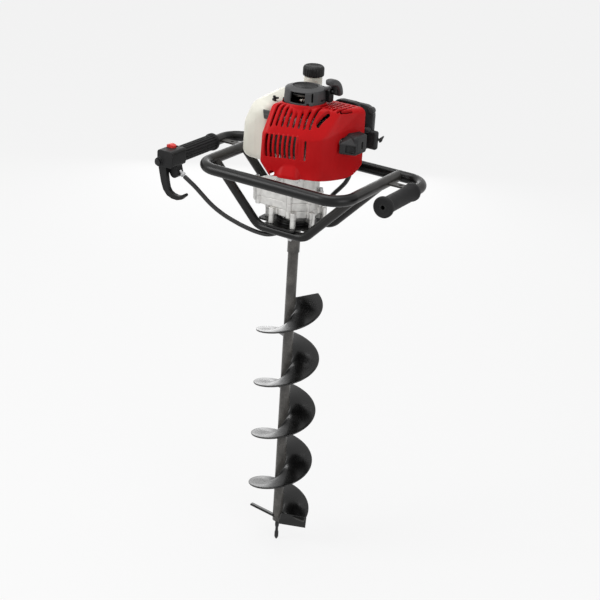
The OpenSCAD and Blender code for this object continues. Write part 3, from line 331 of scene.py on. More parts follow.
# points on a smooth line through the given ones
def smoothLine(points, steps):
    line = []
    last = len(points) - 1
    for i in range(last):
        a, b, c, d = (Vector(points[min(max(k, 0), last)]) for k in (i - 1, i, i + 1, i + 2))
        for k in range(steps):
            t = k / steps
            square = (2 * a - 5 * b + 4 * c - d) * t ** 2
            line.append((2 * b + (c - a) * t + square + (3 * b - a - 3 * c + d) * t ** 3) / 2)
    return line + [Vector(points[last])]


# rectangle with round corners
def roundRect(width, height, r, at, steps=6):
    corners = [(1, 1, 0), (-1, 1, 90), (-1, -1, 180), (1, -1, 270)]
    return [
        (at[0] + sx * (width / 2 - r) + r * math.cos(math.radians(base + 90 * i / steps)),
         at[1] + sy * (height / 2 - r) + r * math.sin(math.radians(base + 90 * i / steps)))
        for sx, sy, base in corners for i in range(steps + 1)]


# circle
def ringOutline(r, steps=48, at=(0, 0)):
    return [
        (at[0] + r * math.cos(2 * math.pi * k / steps), at[1] + r * math.sin(2 * math.pi * k / steps))
        for k in range(steps)]


# a place whose X, Y and Z point as given
def axes(x, y, z, at):
    turn = Matrix((Vector(x), Vector(y), Vector(z))).transposed().to_4x4()
    return Matrix.Translation(at) @ turn


# a place whose Z points along one of the part's axes
def along(axis, at):
    return {
        "x": axes((0, 1, 0), (0, 0, 1), (1, 0, 0), at),
        "y": axes((0, 0, 1), (1, 0, 0), (0, 1, 0), at),
        "z": Matrix.Translation(at)}[axis]


# box between two corners
def block(low, high):
    return prism(
        [(low[0], low[1]), (high[0], low[1]), (high[0], high[1]), (low[0], high[1])], high[2] - low[2],
        Matrix.Translation((0, 0, low[2])))


# several meshes as one
def joined(meshes):
    form = bmesh.new()
    for mesh in meshes:
        form.from_mesh(mesh)
        bpy.data.meshes.remove(mesh)
    mesh = bpy.data.meshes.new("form")
    form.to_mesh(mesh)
    form.free()
    return mesh


# rounding of every edge: rebuild the skin in small cells, relax it, then thin out its faces
def rounding(cell, rounds, keep=1.0):
    steps = [
        ("REMESH", {"mode": "VOXEL", "voxel_size": cell, "use_smooth_shade": True}),
        ("SMOOTH", {"factor": 0.5, "iterations": rounds})]
    if keep < 1:
        steps.append(("DECIMATE", {"ratio": keep}))
    return steps


# put modifiers on an object
def addSteps(body, steps):
    for kind, settings in steps:
        step = body.modifiers.new(kind.lower(), kind)
        for key, value in settings.items():
            setattr(step, key, value)


# run modifiers on a mesh and keep what comes out
def worked(mesh, steps):
    body = bpy.data.objects.new("work", mesh)
    scene.collection.objects.link(body)
    addSteps(body, steps)
    ready = body.evaluated_get(bpy.context.evaluated_depsgraph_get())
    result = bpy.data.meshes.new_from_object(ready)
    bpy.data.objects.remove(body)
    bpy.data.meshes.remove(mesh)
    return result


# a mesh with others taken from it, or with only what they share
def cut(mesh, *tools, how="DIFFERENCE"):
    for tool in tools:
        cutter = bpy.data.objects.new("cutter", tool)
        scene.collection.objects.link(cutter)
        mesh = worked(mesh, [("BOOLEAN", {"object": cutter, "operation": how, "solver": "MANIFOLD"})])
        bpy.data.objects.remove(cutter)
        bpy.data.meshes.remove(tool)
    return mesh


# a mesh with its edges rounded
def mould(mesh, cellMm, rounds, keep=1.0):
    return worked(mesh, rounding(cellMm, rounds, keep))


# a drawn mesh as an object in its place and finish
def dressed(name, mesh, finish):
    mesh.transform(Matrix.Translation((0, 0, headHeight)) @ Matrix.Scale(mm, 4))
    mesh.shade_smooth()
    mesh.materials.clear()
    mesh.materials.append(made[finish])
    piece = bpy.data.objects.new(name, mesh)
    scene.collection.objects.link(piece)
    return piece


# a piece that rides on one body, with the nodes that it stands for
def addPiece(name, mesh, finish, body, stands=()):
    piece = dressed(name, mesh, finish)
    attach(piece, body)
    if stands:
        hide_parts(*stands)
    return piece


# edges that stay crisp on a piece that isn't moulded
def crisp(piece, degrees=35):
    piece.data.set_sharp_from_angle(angle=math.radians(degrees))


cable = {
    "diameter": 0.010,
    # the route of the cable in the part's source, from the adjuster to the carburettor, above the base plate
    "route": [
        (-229.5, -105, 76), (-218, -103, 68), (-205, -100, 58), (-187, -95, 41), (-167, -90, 23),
        (-140, -83, 5), (-110, -75, -9), (-83, -67, -19), (-60, -58, -26), (-44, -45, -31), (-36, -26, -33),
        (-33, -4, -34), (-31, 20, -34), (-26, 44, -33), (-16, 66, -29), (-4, 80, -19), (8, 86, -2),
        (19, 88, 16), (31, 88, 34), (45, 88, 52), (60, 88, 69), (73, 88, 87), (81, 87, 108), (83, 84, 130),
        (82, 80, 150), (80, 76.6, 162.2)],
}


# throttle cable: one smooth curve through the route
def makeCable():
    points = [Vector((x * mm, y * mm, z * mm + headHeight)) for x, y, z in cable["route"]]
    curve = bpy.data.curves.new("throttleCable", "CURVE")
    curve.dimensions = "3D"
    curve.bevel_depth = cable["diameter"] / 2
    curve.bevel_resolution = 6
    curve.use_fill_caps = True
    curve.resolution_u = 8
    line = curve.splines.new("BEZIER")
    line.bezier_points.add(len(points) - 1)
    for knot, point in zip(line.bezier_points, points):
        knot.co = point
        knot.handle_left_type = "AUTO"
        knot.handle_right_type = "AUTO"
    sheath = bpy.data.objects.new("throttleCable", curve)
    scene.collection.objects.link(sheath)
    curve.materials.append(made["vinylSheath"])
    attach(sheath, "frame")
    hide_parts("throttle_cable")


makeCable()
print("cable laid")

camera = {
    "azimuth": 31.33, "elevation": 24.22, "roll": -3.61, "lens": 81.136, "sensor": 36.0,
    "place": (1.4780, -2.3861, 1.9102), "farthest": 50,
}


# the photograph's view, fitted to points of the drill and the frame
def makeCamera():
    a, e, r = (math.radians(camera[k]) for k in ("azimuth", "elevation", "roll"))
    back = Vector((math.sin(a) * math.cos(e), -math.cos(a) * math.cos(e), math.sin(e)))
    right = Vector((math.cos(a), math.sin(a), 0))
    up = back.cross(right)
    across = right * math.cos(r) - up * math.sin(r)
    over = right * math.sin(r) + up * math.cos(r)
    data = bpy.data.cameras.new("camera")
    data.lens = camera["lens"]
    data.sensor_width = camera["sensor"]
    data.clip_end = camera["farthest"]
    eye = bpy.data.objects.new("camera", data)
    turn = Matrix((across, over, back)).transposed()
    eye.matrix_world = Matrix.Translation(camera["place"]) @ turn.to_4x4()
    scene.collection.objects.link(eye)
    scene.camera = eye


studio = {
    "paper": "#fafafa", "sky": "#ffffff", "skyStrength": 0.38,
    # the floor lies just under the drill, and where it is seen it glows by this share, to meet the paper
    "floorHalf": 12.0, "floorDrop": 0.001, "floorGlow": 0.88,
    "lamps": [
        # name, place, aim, size in metres, watts
        ("keyBox", (-1.9, -2.0, 2.4), (0, 0, 0.8), 1.5, 46),
        ("topBox", (-0.3, -0.1, 3.0), (0, 0, 0.8), 1.5, 24),
        ("sideBox", (2.4, -1.0, 1.6), (0, 0, 0.8), 1.2, 17),
        ("backBox", (-1.5, 2.3, 0.8), (0, 0, 0.4), 1.4, 14),
    ],
}


# 1 for rays that show the background: from the camera, mirrored or passed through
def shownRays(tree):
    path = addNode(tree, "ShaderNodeLightPath")
    mirrored = addNode(
        tree, "ShaderNodeMath", {"operation": "MAXIMUM"},
        {0: path.outputs["Is Camera Ray"], 1: path.outputs["Is Glossy Ray"]})
    return addNode(
        tree, "ShaderNodeMath", {"operation": "MAXIMUM"},
        {0: mirrored.outputs[0], 1: path.outputs["Is Transmission Ray"]}).outputs[0]


# white paper where it is seen, and a weaker sky for the light itself
def makeWorld():
    scene.view_settings.view_transform = "Standard"
    world = bpy.data.worlds.new("studio")
    scene.world = world
    world.use_nodes = True
    tree = world.node_tree
    tree.nodes.clear()
    paper = addNode(tree, "ShaderNodeBackground", {"Color": hexLinear(studio["paper"]), "Strength": 1.0})
    sky = addNode(
        tree, "ShaderNodeBackground", {"Color": hexLinear(studio["sky"]), "Strength": studio["skyStrength"]})
    mix = addNode(
        tree, "ShaderNodeMixShader", links={0: shownRays(tree), 1: sky.outputs[0], 2: paper.outputs[0]})
    addNode(tree, "ShaderNodeOutputWorld", links={"Surface": mix.outputs[0]})


# square soft boxes
def makeLamps():
    for name, place, aim, size, watts in studio["lamps"]:
        data = bpy.data.lights.new(name, "AREA")
        data.shape = "SQUARE"
        data.size = size
        data.energy = watts
        lamp = bpy.data.objects.new(name, data)
        lamp.location = place
        lamp.rotation_euler = (Vector(aim) - Vector(place)).to_track_quat("-Z", "Y").to_euler()
        scene.collection.objects.link(lamp)


# sheet of white paper that keeps a faint shadow
def makeFloor():
    mesh = bpy.data.meshes.new("paperFloor")
    half = studio["floorHalf"]
    corners = [(-half, -half, 0), (half, -half, 0), (half, half, 0), (-half, half, 0)]
    mesh.from_pydata(corners, [], [(0, 1, 2, 3)])
    floor = bpy.data.objects.new("paperFloor", mesh)
    floor.location.z = -studio["floorDrop"]
    scene.collection.objects.link(floor)
    mat = bpy.data.materials.new("whitePaper")
    mat.use_nodes = True
    tree = mat.node_tree
    tree.nodes.clear()
    matt = addNode(tree, "ShaderNodeBsdfDiffuse", {"Color": hexLinear(studio["paper"])})
    glow = addNode(tree, "ShaderNodeEmission", {"Color": hexLinear(studio["paper"]), "Strength": 1.0})
    share = addNode(
        tree, "ShaderNodeMath", {"operation": "MULTIPLY", 1: studio["floorGlow"]}, {0: shownRays(tree)})
    mix = addNode(
        tree, "ShaderNodeMixShader", links={0: share.outputs[0], 1: matt.outputs[0], 2: glow.outputs[0]})
    addNode(tree, "ShaderNodeOutputMaterial", links={"Surface": mix.outputs[0]})
    mesh.materials.append(mat)


makeCamera()
makeWorld()
makeLamps()
makeFloor()
print("studio lit")

engine = {
    "axisHeight": 205.0, "fins": 9, "finStart": 48.0, "finPitch": 5.6, "finThick": 1.8, "finRadius": 32.0,
    "finRoot": 16.5, "taperFrom": 70, "taper": 0.58,
    # radius and distance along the barrel
    "base": [(23, 45.3)], "head": [(15, 98), (10, 100), (9.5, 105.2)],
    "plug": [
        (5.2, 105), (5.2, 110), (4.9, 110.4), (4.6, 111), (4.6, 117), (4.2, 117.6), (4.2, 122), (3, 122.6),
        (3, 126)],
}

shroud = {
    "wall": 2.6, "low": 121.0, "top": 272.0, "rear": 54.5, "corner": (-44.0, -89.0), "frontRun": (97.0, 34.0),
    # the skin starts this far below the rim that is cut from it, and is thicker in the hood
    "skirt": 16.0, "hoodFrom": 195.0, "hoodThicker": 2,
    # the grille's side: run and lift of each foot, then run and height of the brow above it
    "front": [(9, 46, 16, 207), (97, 0, 94, 199)], "middleRun": 42,
    "tankCorner": (-37, 75), "tankLift": 46, "tankBrow": 213,
    # the wall's plan round the nose, with the height at which it turns into the shoulder
    "nose": [
        (52, -55.4, 210), (66, -50.4, 213), (83, -40, 218), (98, -20, 227), (110, 5, 236), (120, 28, 242),
        (127, 55, 247), (131, 75, 247)],
    "shoulderDrop": 7,
    # corners of the flat top: three behind the brow by run and depth, the rest in plan
    "flatFront": [(26, 37), (62, 33), (84, 33)],
    "flat": [(60, -6), (88, 8), (108, 40), (113, 58), (113, 75), (-30, 75)],
    "browRadius": 16.0, "turnRadius": 14.0, "noseRadius": 15.0, "edgeRadius": 9.0,
    # the bulge under the grille and the right foot: run, inward, height and radius of each ball
    "bulge": [
        (53, 6, 124, 15), (77, 5, 124, 16), (56, 11, 142, 13), (76, 11, 143, 13), (52, 24, 122, 14),
        (80, 24, 122, 14)],
    "foot": [(102, 8, 118, 7), (102, 8, 138, 7)],
    # the starter's seat by radius and height, its bore, and the fan's mouth below it
    "seatAt": (4.3, 2.6), "seat": [(48.2, 250), (48.2, 270), (47.6, 274), (46.6, 276)], "seatBore": 45,
    "mouth": 42.8, "mouthFrom": 222,
    # a box well outside the shroud, room for the crankcase in plan, and for carburettor and tank over the rim
    "beyond": ((-100, -140, 60), (200, 140, 320)),
    "room": [(-60, -28), (52, -28), (96, 10), (104, 70), (-60, 70)], "roomFrom": -10, "roomHeight": 62,
    "sideRooms": [((40, 30, 14), (100, 70, 114)), ((-60, -24, 40), (-30, 38, 128))],
    "plugHole": 9, "plugFrom": 90,
    # the rim's rise at the rear corner, by Y and height over the rim, and the notch at the left foot
    "rim": [(8, -31), (8, 0), (30, 6), (42, 14), (54, 25), (80, 48), (80, -31)], "rimFrom": 95,
    "notch": (28, 127), "notchRadius": 6,
    # on the grille's face, by run and height
    "window": {"width": 74, "height": 50, "r": 5, "at": (46.5, 188)},
    "groove": {"width": 1.6, "height": 50, "r": 0.7, "at": (89.5, 187)},
    "slot": ((98.4, 165), (98.4, 205), 2.2), "throughFrom": 22, "grooveDepth": 1.2,
    # bars bow out and lean to the left in the middle; the section is by run and inward
    "bars": 8, "barFrom": 9.9, "barPitch": 10.15, "barBow": 4.2, "barSink": 1.2, "barLean": 1.6,
    "barLow": 160.5, "barRise": 55.0,
    "barSection": [
        (-2.3, 6), (-2.5, 2), (-2.1, 0.8), (-1.2, 0.1), (0, -0.1), (1.2, 0.1), (2.1, 0.8), (2.5, 2),
        (2.3, 6)],
    # louvres by run and inward: the first one's foot, and how far its bend and its top lie from there
    "louvres": 8, "louvrePitch": 12.05, "louvreHalf": 2.5, "louvreFoot": (19.5, 10.5), "louvreBend": (4, 11),
    "louvreTop": (18, 31), "seatClear": 50, "hoodCutFrom": 205,
    "wideLouvre": [(63.5, -34), (66, -28), (70, -21), (75, -14)], "wideHalf": 4.0,
    "shoulderLouvre": [(95.5, 2), (102, 12), (109, 24)], "shoulderHalf": 2.4,
    # slots beside the starter: points of the first, each with its step to the next slot
    "crownSlots": 5, "crownHalf": 2.0, "crownCutFrom": 236,
    "crownLine": [((52, -8), (9.5, 1.5)), ((54, 16), (10.5, 0)), ((56, 40), (11.5, 2))],
    "cellMm": 0.75, "rounds": 4, "keep": 0.35,
}
frontWay = Vector((*shroud["frontRun"], 0)).normalized()
frontOut = Vector((frontWay.y, -frontWay.x, 0))
upright = Vector((0, 0, 1))


# a place on the grille's face: along it from the left corner, inward from it, and up
def onFront(run, inward, height=0.0):
    return Vector((*shroud["corner"], height)) + frontWay * run - frontOut * inward


# the outer skin, drawn in by its wall for the inside
def shroudSkin(inset):
    low = shroud["low"] - shroud["skirt"]
    brow, turn, nose, edge = (shroud[part + "Radius"] for part in ("brow", "turn", "nose", "edge"))
    balls = [(*onFront(shroud["middleRun"], edge, low), edge)]
    balls += [(*shroud["tankCorner"], z, edge) for z in (low + shroud["tankLift"], shroud["tankBrow"])]
    for run, lift, browRun, browHeight in shroud["front"]:
        balls.append((*onFront(run, edge, low + lift), edge))
        balls.append((*onFront(browRun, brow, browHeight), brow))
    wall = smoothLine(shroud["nose"], steps=4)
    for i, place in enumerate(wall):
        ahead = (wall[min(i + 1, len(wall) - 1)] - wall[max(i - 1, 0)]).xy.normalized()
        centre = place.xy + Vector((-ahead.y, ahead.x)) * nose
        balls += [(*centre, height, nose) for height in (low, place.z - shroud["shoulderDrop"])]
    flat = [tuple(onFront(*corner).xy) for corner in shroud["flatFront"]] + shroud["flat"]
    balls += [(x, y, shroud["top"] - turn, turn) for x, y in flat]
    thicker = shroud["hoodThicker"]
    return ballSkin(
        [(x, y, z, r - inset * (thicker if z > shroud["hoodFrom"] else 1)) for x, y, z, r in balls], rings=14)


# a louvre bends to the right as it climbs, and stops short of the starter's seat
def louvrePath(i):
    run, inward = shroud["louvreFoot"]
    start = Vector((run + i * shroud["louvrePitch"], inward))
    bend = start + Vector(shroud["louvreBend"])
    stop = start + Vector(shroud["louvreTop"])
    path = []
    steps = 12
    for k in range(steps + 1):
        t = k / steps
        place = onFront(*(start * (1 - t) ** 2 + bend * 2 * t * (1 - t) + stop * t ** 2)).xy
        if (place - Vector(shroud["seatAt"])).length > shroud["seatClear"]:
            path.append(place)
    return path


# one bar of the grille, bowed outward, with a rounded face
def grilleBar(run):
    rings = []
    steps = 12
    for k in range(steps + 1):
        swell = 1 - (2 * k / steps - 1) ** 2
        out = shroud["barBow"] * swell - shroud["barSink"]
        height = shroud["barLow"] + shroud["barRise"] * k / steps
        rings.append([
            onFront(run + u - shroud["barLean"] * swell, v - out, height) for u, v in shroud["barSection"]])
    return loft(rings)


# the red moulding: skin, seat and feet, hollowed, then cut for everything that shows through it
def makeShroud():
    low = shroud["low"]
    bulge, foot = (
        ballSkin([(*onFront(*place), r) for *place, r in shroud[part]]) for part in ("bulge", "foot"))
    overSeat = along("z", (*shroud["seatAt"], 0))
    shell = cut(
        mould(joined([shroudSkin(0), bulge, foot, lathe(shroud["seat"], overSeat)]), 1.0, 10),
        mould(shroudSkin(shroud["wall"]), 1.3, 6))
    # open underside and square rear, the rooms inside, the fan's mouth, the starter's bore and the plug hole
    (left, front, below), (right, back, above) = shroud["beyond"]
    rooms = [
        block((x, y, low + z), (toX, toY, low + toZ)) for (x, y, z), (toX, toY, toZ) in shroud["sideRooms"]]
    shell = cut(
        shell, block((left, front, below), (right, back, low)),
        block((left, shroud["rear"], below), (right, back, above)),
        prism(shroud["room"], shroud["roomHeight"], along("z", (0, 0, low + shroud["roomFrom"]))), *rooms,
        prism(ringOutline(shroud["mouth"]), 60, along("z", (0, 0, shroud["mouthFrom"]))),
        prism(ringOutline(shroud["seatBore"], 96), 20, along("z", (*shroud["seatAt"], shroud["top"]))),
        prism(
            ringOutline(shroud["plugHole"], at=(0, engine["axisHeight"])), 60,
            along("x", (shroud["plugFrom"], 0, 0))))
    rim = [(y, low + up) for y, up in shroud["rim"]]
    deep = axes(frontWay, upright, frontOut, onFront(0, shroud["throughFrom"]))
    shell = cut(
        shell, prism(rim, 60, along("x", (shroud["rimFrom"], 0, 0))),
        prism(ringOutline(shroud["notchRadius"], at=shroud["notch"]), 40, deep))
    # the grille's window, the groove beside it and the single slot
    shallow = axes(frontWay, upright, frontOut, onFront(0, shroud["grooveDepth"]))
    shell = cut(
        shell, prism(roundRect(**shroud["window"]), 44, deep),
        joined([
            prism(roundRect(**shroud["groove"]), 30, shallow),
            prism(slotOutline(*shroud["slot"]), 60, deep)]))
    # louvres up the hood, the wide one, the slots beside the starter and the single louvre on the shoulder
    hood = along("z", (0, 0, shroud["hoodCutFrom"]))
    crown = along("z", (0, 0, shroud["crownCutFrom"]))
    tools = [prism(ribbon(louvrePath(i), shroud["louvreHalf"]), 80, hood) for i in range(shroud["louvres"])]
    tools.append(prism(ribbon(shroud["wideLouvre"], shroud["wideHalf"]), 80, hood))
    for i in range(shroud["crownSlots"]):
        line = [(x + stepX * i, y + stepY * i) for (x, y), (stepX, stepY) in shroud["crownLine"]]
        tools.append(prism(ribbon(line, shroud["crownHalf"]), 60, crown))
    tools.append(prism(ribbon(shroud["shoulderLouvre"], shroud["shoulderHalf"]), 80, hood))
    shell = cut(shell, joined(tools))
    bars = [grilleBar(shroud["barFrom"] + i * shroud["barPitch"]) for i in range(shroud["bars"])]
    form = mould(joined([shell] + bars), shroud["cellMm"], shroud["rounds"], shroud["keep"])
    addPiece("shroudMoulding", form, "redAbs", "frame", ["shroud"])


makeShroud()
print("shroud moulded")

plugCover = {
    "shift": (4.3, -7.1, 3.7),
    "lowLobe": [
        (106, -6.5, 182, 3), (136, 3.5, 182, 3), (106, -6.5, 200.5, 2.5), (136, 3.5, 200.5, 2.5),
        (104, 20, 182, 3), (134, 18, 182, 3), (104, 20, 213.5, 4), (132, 18, 215.5, 4)],
    "tallPlan": [(133.5, 9), (135, 39.5), (108, 50), (110, 20)], "tallHeights": (184, 213.5), "tallRadius": 6,
    "scoopAt": (129.4, -6.5), "scoopRadius": 12.5, "scoopFrom": 183, "scoopDepth": 16,
    "slot": ((25, 192), (25, 203), 2.7), "slotFrom": 131, "slotDepth": 14,
}


# two lobes on the nose: a low one with a scooped face and a lip, and a tall one with a slot
def makePlugCover():
    lowLobe = ballSkin(plugCover["lowLobe"], rings=8)
    tallLobe = ballSkin(
        planBalls(plugCover["tallPlan"], plugCover["tallHeights"], plugCover["tallRadius"]), rings=10)
    scoop = prism(
        ringOutline(plugCover["scoopRadius"], at=plugCover["scoopAt"]), plugCover["scoopDepth"],
        along("z", (0, 0, plugCover["scoopFrom"])))
    slot = prism(
        slotOutline(*plugCover["slot"]), plugCover["slotDepth"], along("x", (plugCover["slotFrom"], 0, 0)))
    form = mould(cut(mould(joined([lowLobe, tallLobe]), 0.8, 3), scoop, slot), 0.7, 3, 0.5)
    form.transform(Matrix.Translation(plugCover["shift"]))
    addPiece("plugCoverMoulding", form, "charcoalNylon", "frame", ["plug_cover"])


# the spark plug under its cover
def makePlug():
    plug = lathe(engine["plug"], along("x", (0, 0, engine["axisHeight"])), 48)
    crisp(addPiece("sparkPlug", plug, "glazedCeramic", "frame", ["spark_plug"]))


# finned barrel under the shroud, its fins drawn in to clear the nose
def makeCylinder():
    profile = list(engine["base"])
    root = engine["finRoot"]
    t = engine["finThick"]
    for i in range(engine["fins"]):
        x = engine["finStart"] + i * engine["finPitch"]
        r = min(engine["finRadius"], engine["finRadius"] - (x - engine["taperFrom"]) * engine["taper"])
        profile += [(root, x), (r - 0.6, x), (r, x + 0.5), (r, x + t - 0.5), (r - 0.6, x + t), (root, x + t)]
    barrel = lathe(profile + engine["head"], along("x", (0, 0, engine["axisHeight"])), 64)
    crisp(addPiece("finnedCylinder", barrel, "sootAndShadeIron", "frame", ["engine_cylinder"]))


muffler = {
    # corners in plan: two by run and inward on the grille's face, two by x and y
    "front": [(24, 15), (86, 15)], "back": [(38, -48), (-22, -48)], "heights": (171.5, 208.5), "radius": 5.5,
    "seamHeights": (189.2, 190.8), "seamRadius": 7.0, "seamFrom": 189, "seamTo": 191,
    "duct": ((44, 58), (-44, -38), (190, 210), 4),
}


# pressed steel box behind the grille, folded at a seam round its middle
def makeMuffler():
    plan = [tuple(onFront(*corner).xy) for corner in muffler["front"]] + muffler["back"]
    box = ballSkin(planBalls(plan, muffler["heights"], muffler["radius"]), rings=8)
    seam = ballSkin(planBalls(plan, muffler["seamHeights"], muffler["seamRadius"]), rings=8)
    seam = cut(
        seam, block((-100, -120, 100), (120, 0, muffler["seamFrom"])),
        block((-100, -120, muffler["seamTo"]), (120, 0, 300)))
    duct = ballSkin(boxBalls(*muffler["duct"]), rings=8)
    form = mould(joined([box, seam, duct]), 0.9, 2, 0.5)
    addPiece("mufflerBox", form, "sootAndShadeIron", "frame", ["muffler"])


# black sheet put inside the hood as painted shade, so the louvres look dark
shadeSheet = {
    # outline and window by height and x
    "outline": [
        (150, -34), (150, 116), (172, 121), (236, 120), (258, 108), (265, 96), (265, -24), (240, -34)],
    "window": {"width": 70, "height": 48, "r": 8, "at": (194, 72)}, "at": 50.2, "thick": 2.4,
    "beadHeights": (238, 250), "beadEnds": (-22, 104), "beadRadius": 2.2,
}


# black sheet between the hood and the carburettor, with two beads pressed in: painted shade, a dark sheet put
# where the louvres should look dark
def makeShadeSheet():
    sheet = cut(
        prism(shadeSheet["outline"], shadeSheet["thick"], along("y", (0, shadeSheet["at"], 0))),
        prism(roundRect(**shadeSheet["window"]), 20, along("y", (0, 40, 0))))
    beads = [
        ballSkin([(x, shadeSheet["at"] + 0.2, z, shadeSheet["beadRadius"]) for x in shadeSheet["beadEnds"]], rings=6)
        for z in shadeSheet["beadHeights"]]
    form = mould(joined([sheet] + beads), 0.7, 2, 0.5)
    addPiece("shadeSheetMoulding", form, "blackNylon", "frame")


makePlugCover()
makePlug()
print("plug cover moulded")
makeCylinder()
makeMuffler()
makeShadeSheet()
print("cylinder, muffler and guard made")

tank = {
    "neckAt": (-30, 88), "neckRadius": 20.4, "neckTop": 310.0, "lipRadius": 17.6, "lipFrom": 304.2,
    # growth over the neck's radius, and height
    "neck": [(4, 236), (4, 257), (3, 264), (1.2, 271), (0.3, 276), (0, 280), (0, 304)],
    "side": [
        (-106, -23, 152, 22), (-66, -27, 148, 18), (-106, 84, 152, 22), (-66, 88, 148, 18),
        (-85, -7, 228, 38), (-85, 68, 234, 38), (-102, -19, 208, 26), (-102, 80, 208, 26),
        (-70, -23, 242, 22), (-70, 84, 248, 22)],
    "arm": ((-70, -4), (80, 93), (150, 246), 14), "keel": [(-89, -20, 144, 14), (-89, 80, 144, 14)],
    # the parting line is a slice of a skin that stands out by seamMm
    "seamMm": 0.7, "seamSlice": ((-90, -60, 100), (-88.6, 120, 300)), "cellMm": 1.2, "rounds": 34,
    # fittings by x, y and foot, then radius and height of the stub and of the spout that leaves it
    "fittings": [(-65, -10, 262), (-50, 6, 258)],
    "stub": [(4.6, 0), (4.6, 5), (4.0, 5.6), (2.6, 6), (2.6, 8), (3.4, 8.4), (3.0, 11), (2.2, 12)],
    "spout": [(2.2, 0), (2.4, 3), (2.2, 9), (1.6, 10)], "spoutRise": 7,
    "strap": [
        (-66, -47, 249, 2), (-42, -52, 251, 2), (-42, -52, 234, 2), (-63, -47, 233, 2), (-44, -40, 242, 2)],
    "strapRib": [(-63, -48.6, 241, 1.6), (-44, -53, 242, 1.6)],
}


# the tank's three lumps, grown by a little for the parting line
def tankSkins(grow):
    return [
        ballSkin([(x, y, z, r + grow) for x, y, z, r in balls])
        for balls in (tank["side"], boxBalls(*tank["arm"]), tank["keel"])]


# blown tank: a big shoulder at the side, an arm behind the engine and a neck on it
def makeTank():
    r = tank["neckRadius"]
    profile = [(r + grow, z) for grow, z in tank["neck"]]
    profile += [(tank["lipRadius"], z) for z in (tank["lipFrom"], tank["neckTop"])]
    neck = lathe(profile, along("z", (*tank["neckAt"], 0)), closed=False)
    seam = cut(joined(tankSkins(tank["seamMm"])[:1]), block(*tank["seamSlice"]), how="INTERSECT")
    skin = mould(joined(tankSkins(0) + [neck, seam]), tank["cellMm"], tank["rounds"], 0.5)
    addPiece("tankMoulding", skin, "milkyPolyethylene", "frame", ["fuel_tank"])


# vent and hose fittings beside the starter
def makeFittings():
    fittings = []
    for x, y, foot in tank["fittings"]:
        fittings.append(lathe([(r, foot + up) for r, up in tank["stub"]], along("z", (x, y, 0)), 32))
        aside = axes((0, 0, 1), (0.6, -0.8, 0), (0.8, 0.6, 0), (x, y, foot + tank["spoutRise"]))
        fittings.append(lathe(tank["spout"], aside, 24))
    crisp(addPiece("tankFittings", joined(fittings), "blackNylon", "frame"))


# strap between the tank and the hood, with a rib along it
def makeStrap():
    strap = joined([ballSkin(tank[part], rings=6) for part in ("strap", "strapRib")])
    addPiece("tankStrap", mould(strap, 0.7, 2, 0.6), "greyNylon", "frame")


makeTank()
makeFittings()
makeStrap()
print("tank blown")

starter = {
    "at": (4.3, 2.6), "radius": 44.6, "low": 272.05, "top": 307.8, "wall": 4.0, "lid": 6.0, "postRadius": 6.0,
    "discRadius": 27.0, "discRings": 8, "discPitch": 3.2, "ropeAt": (29.75, 298.0), "ropeHole": 2.75,
    # openings in the side: from and to in degrees, from and to in height
    "windows": [
        (-104, -58, 278.5, 301), (-39.5, -34.5, 279, 301), (-53, -46, 271, 279), (-8, 22, 281, 283.5)],
    "windowReach": (34, 60), "ribs": [-56, -43.5, -31, -20, 60, 90, 120, 165, 176, 232], "ribRadius": 1.1,
    "lugTurn": -40, "lugReach": (42, 46), "lugSides": (-3, 3), "lugRadius": 1.6,
    "outlet": [(36, 17, 301, 4.5), (37, 33, 301, 4.5), (52, 27, 307, 3.6), (52, 33, 307, 3.6)],
    # black disc in the drum's foot, painted shade that darkens the windows: radius, and height over the
    # drum's foot
    "plate": [(39.6, 1.2), (39.6, 4.2), (38.4, 4.2), (37.2, 2.4), (18, 2.4), (17, 3.6)], "shadeDiscHole": 14,
    "cellMm": 0.75, "rounds": 3,
}


# slice of a ring, between two turns in degrees
def sector(inner, outer, start, stop, steps=12):
    turns = [math.radians(start + (stop - start) * i / steps) for i in range(steps + 1)]
    return (
        [(inner * math.cos(t), inner * math.sin(t)) for t in turns]
        + [(outer * math.cos(t), outer * math.sin(t)) for t in reversed(turns)])


# recoil housing: a drum with a sloping brow round the sunk disc, windows, ribs, a lug and the rope's outlet
def makeStarter():
    x, y = starter["at"]
    r, low, top, wall = (starter[key] for key in ("radius", "low", "top", "wall"))
    upward = along("z", (x, y, 0))
    shell = lathe([
        (r, low), (r, low + 5), (r - 1.0, top - 8), (r - 1.6, top - 5.4), (r - 3.2, top - 4.0),
        (r - 14.6, top - 0.4), (r - 15.6, top)], upward)
    bore = lathe([(r - wall, low - 1), (r - wall, low + 5), (r - wall - 1, top - starter["lid"])], upward)
    post = prism(ringOutline(starter["postRadius"]), 40, along("z", (0, 0, low + 14)))
    shell = cut(
        shell, cut(bore, post),
        prism(ringOutline(starter["discRadius"] + 0.4, 96), 8, along("z", (x, y, top - 3.4))),
        prism(ringOutline(starter["ropeHole"], 24, starter["ropeAt"]), 60, along("x", (20, 0, 0))))
    for start, stop, floor, roof in starter["windows"]:
        opening = sector(*starter["windowReach"], start, stop)
        shell = cut(shell, prism(opening, roof - floor, along("z", (x, y, floor))))
    extras = []
    for turn in starter["ribs"]:
        a = math.radians(turn)
        extras.append(ballSkin([
            (x + (r + grow) * math.cos(a), y + (r + grow) * math.sin(a), z, starter["ribRadius"])
            for grow, z in ((-0.6, low + 3), (-1.4, top - 8))], rings=6))
    a = math.radians(starter["lugTurn"])
    extras.append(ballSkin([
        (x + reach * math.cos(a) + side * math.sin(a), y + reach * math.sin(a) - side * math.cos(a), z,
         starter["lugRadius"])
        for reach in starter["lugReach"] for side in starter["lugSides"]
        for z in (low + 4, low + 8)], rings=6))
    extras.append(ballSkin(starter["outlet"], rings=8))
    form = mould(joined([shell] + extras), starter["cellMm"], starter["rounds"], 0.5)
    addPiece("starterMoulding", form, "greyNylon", "frame", ["starter_housing"])


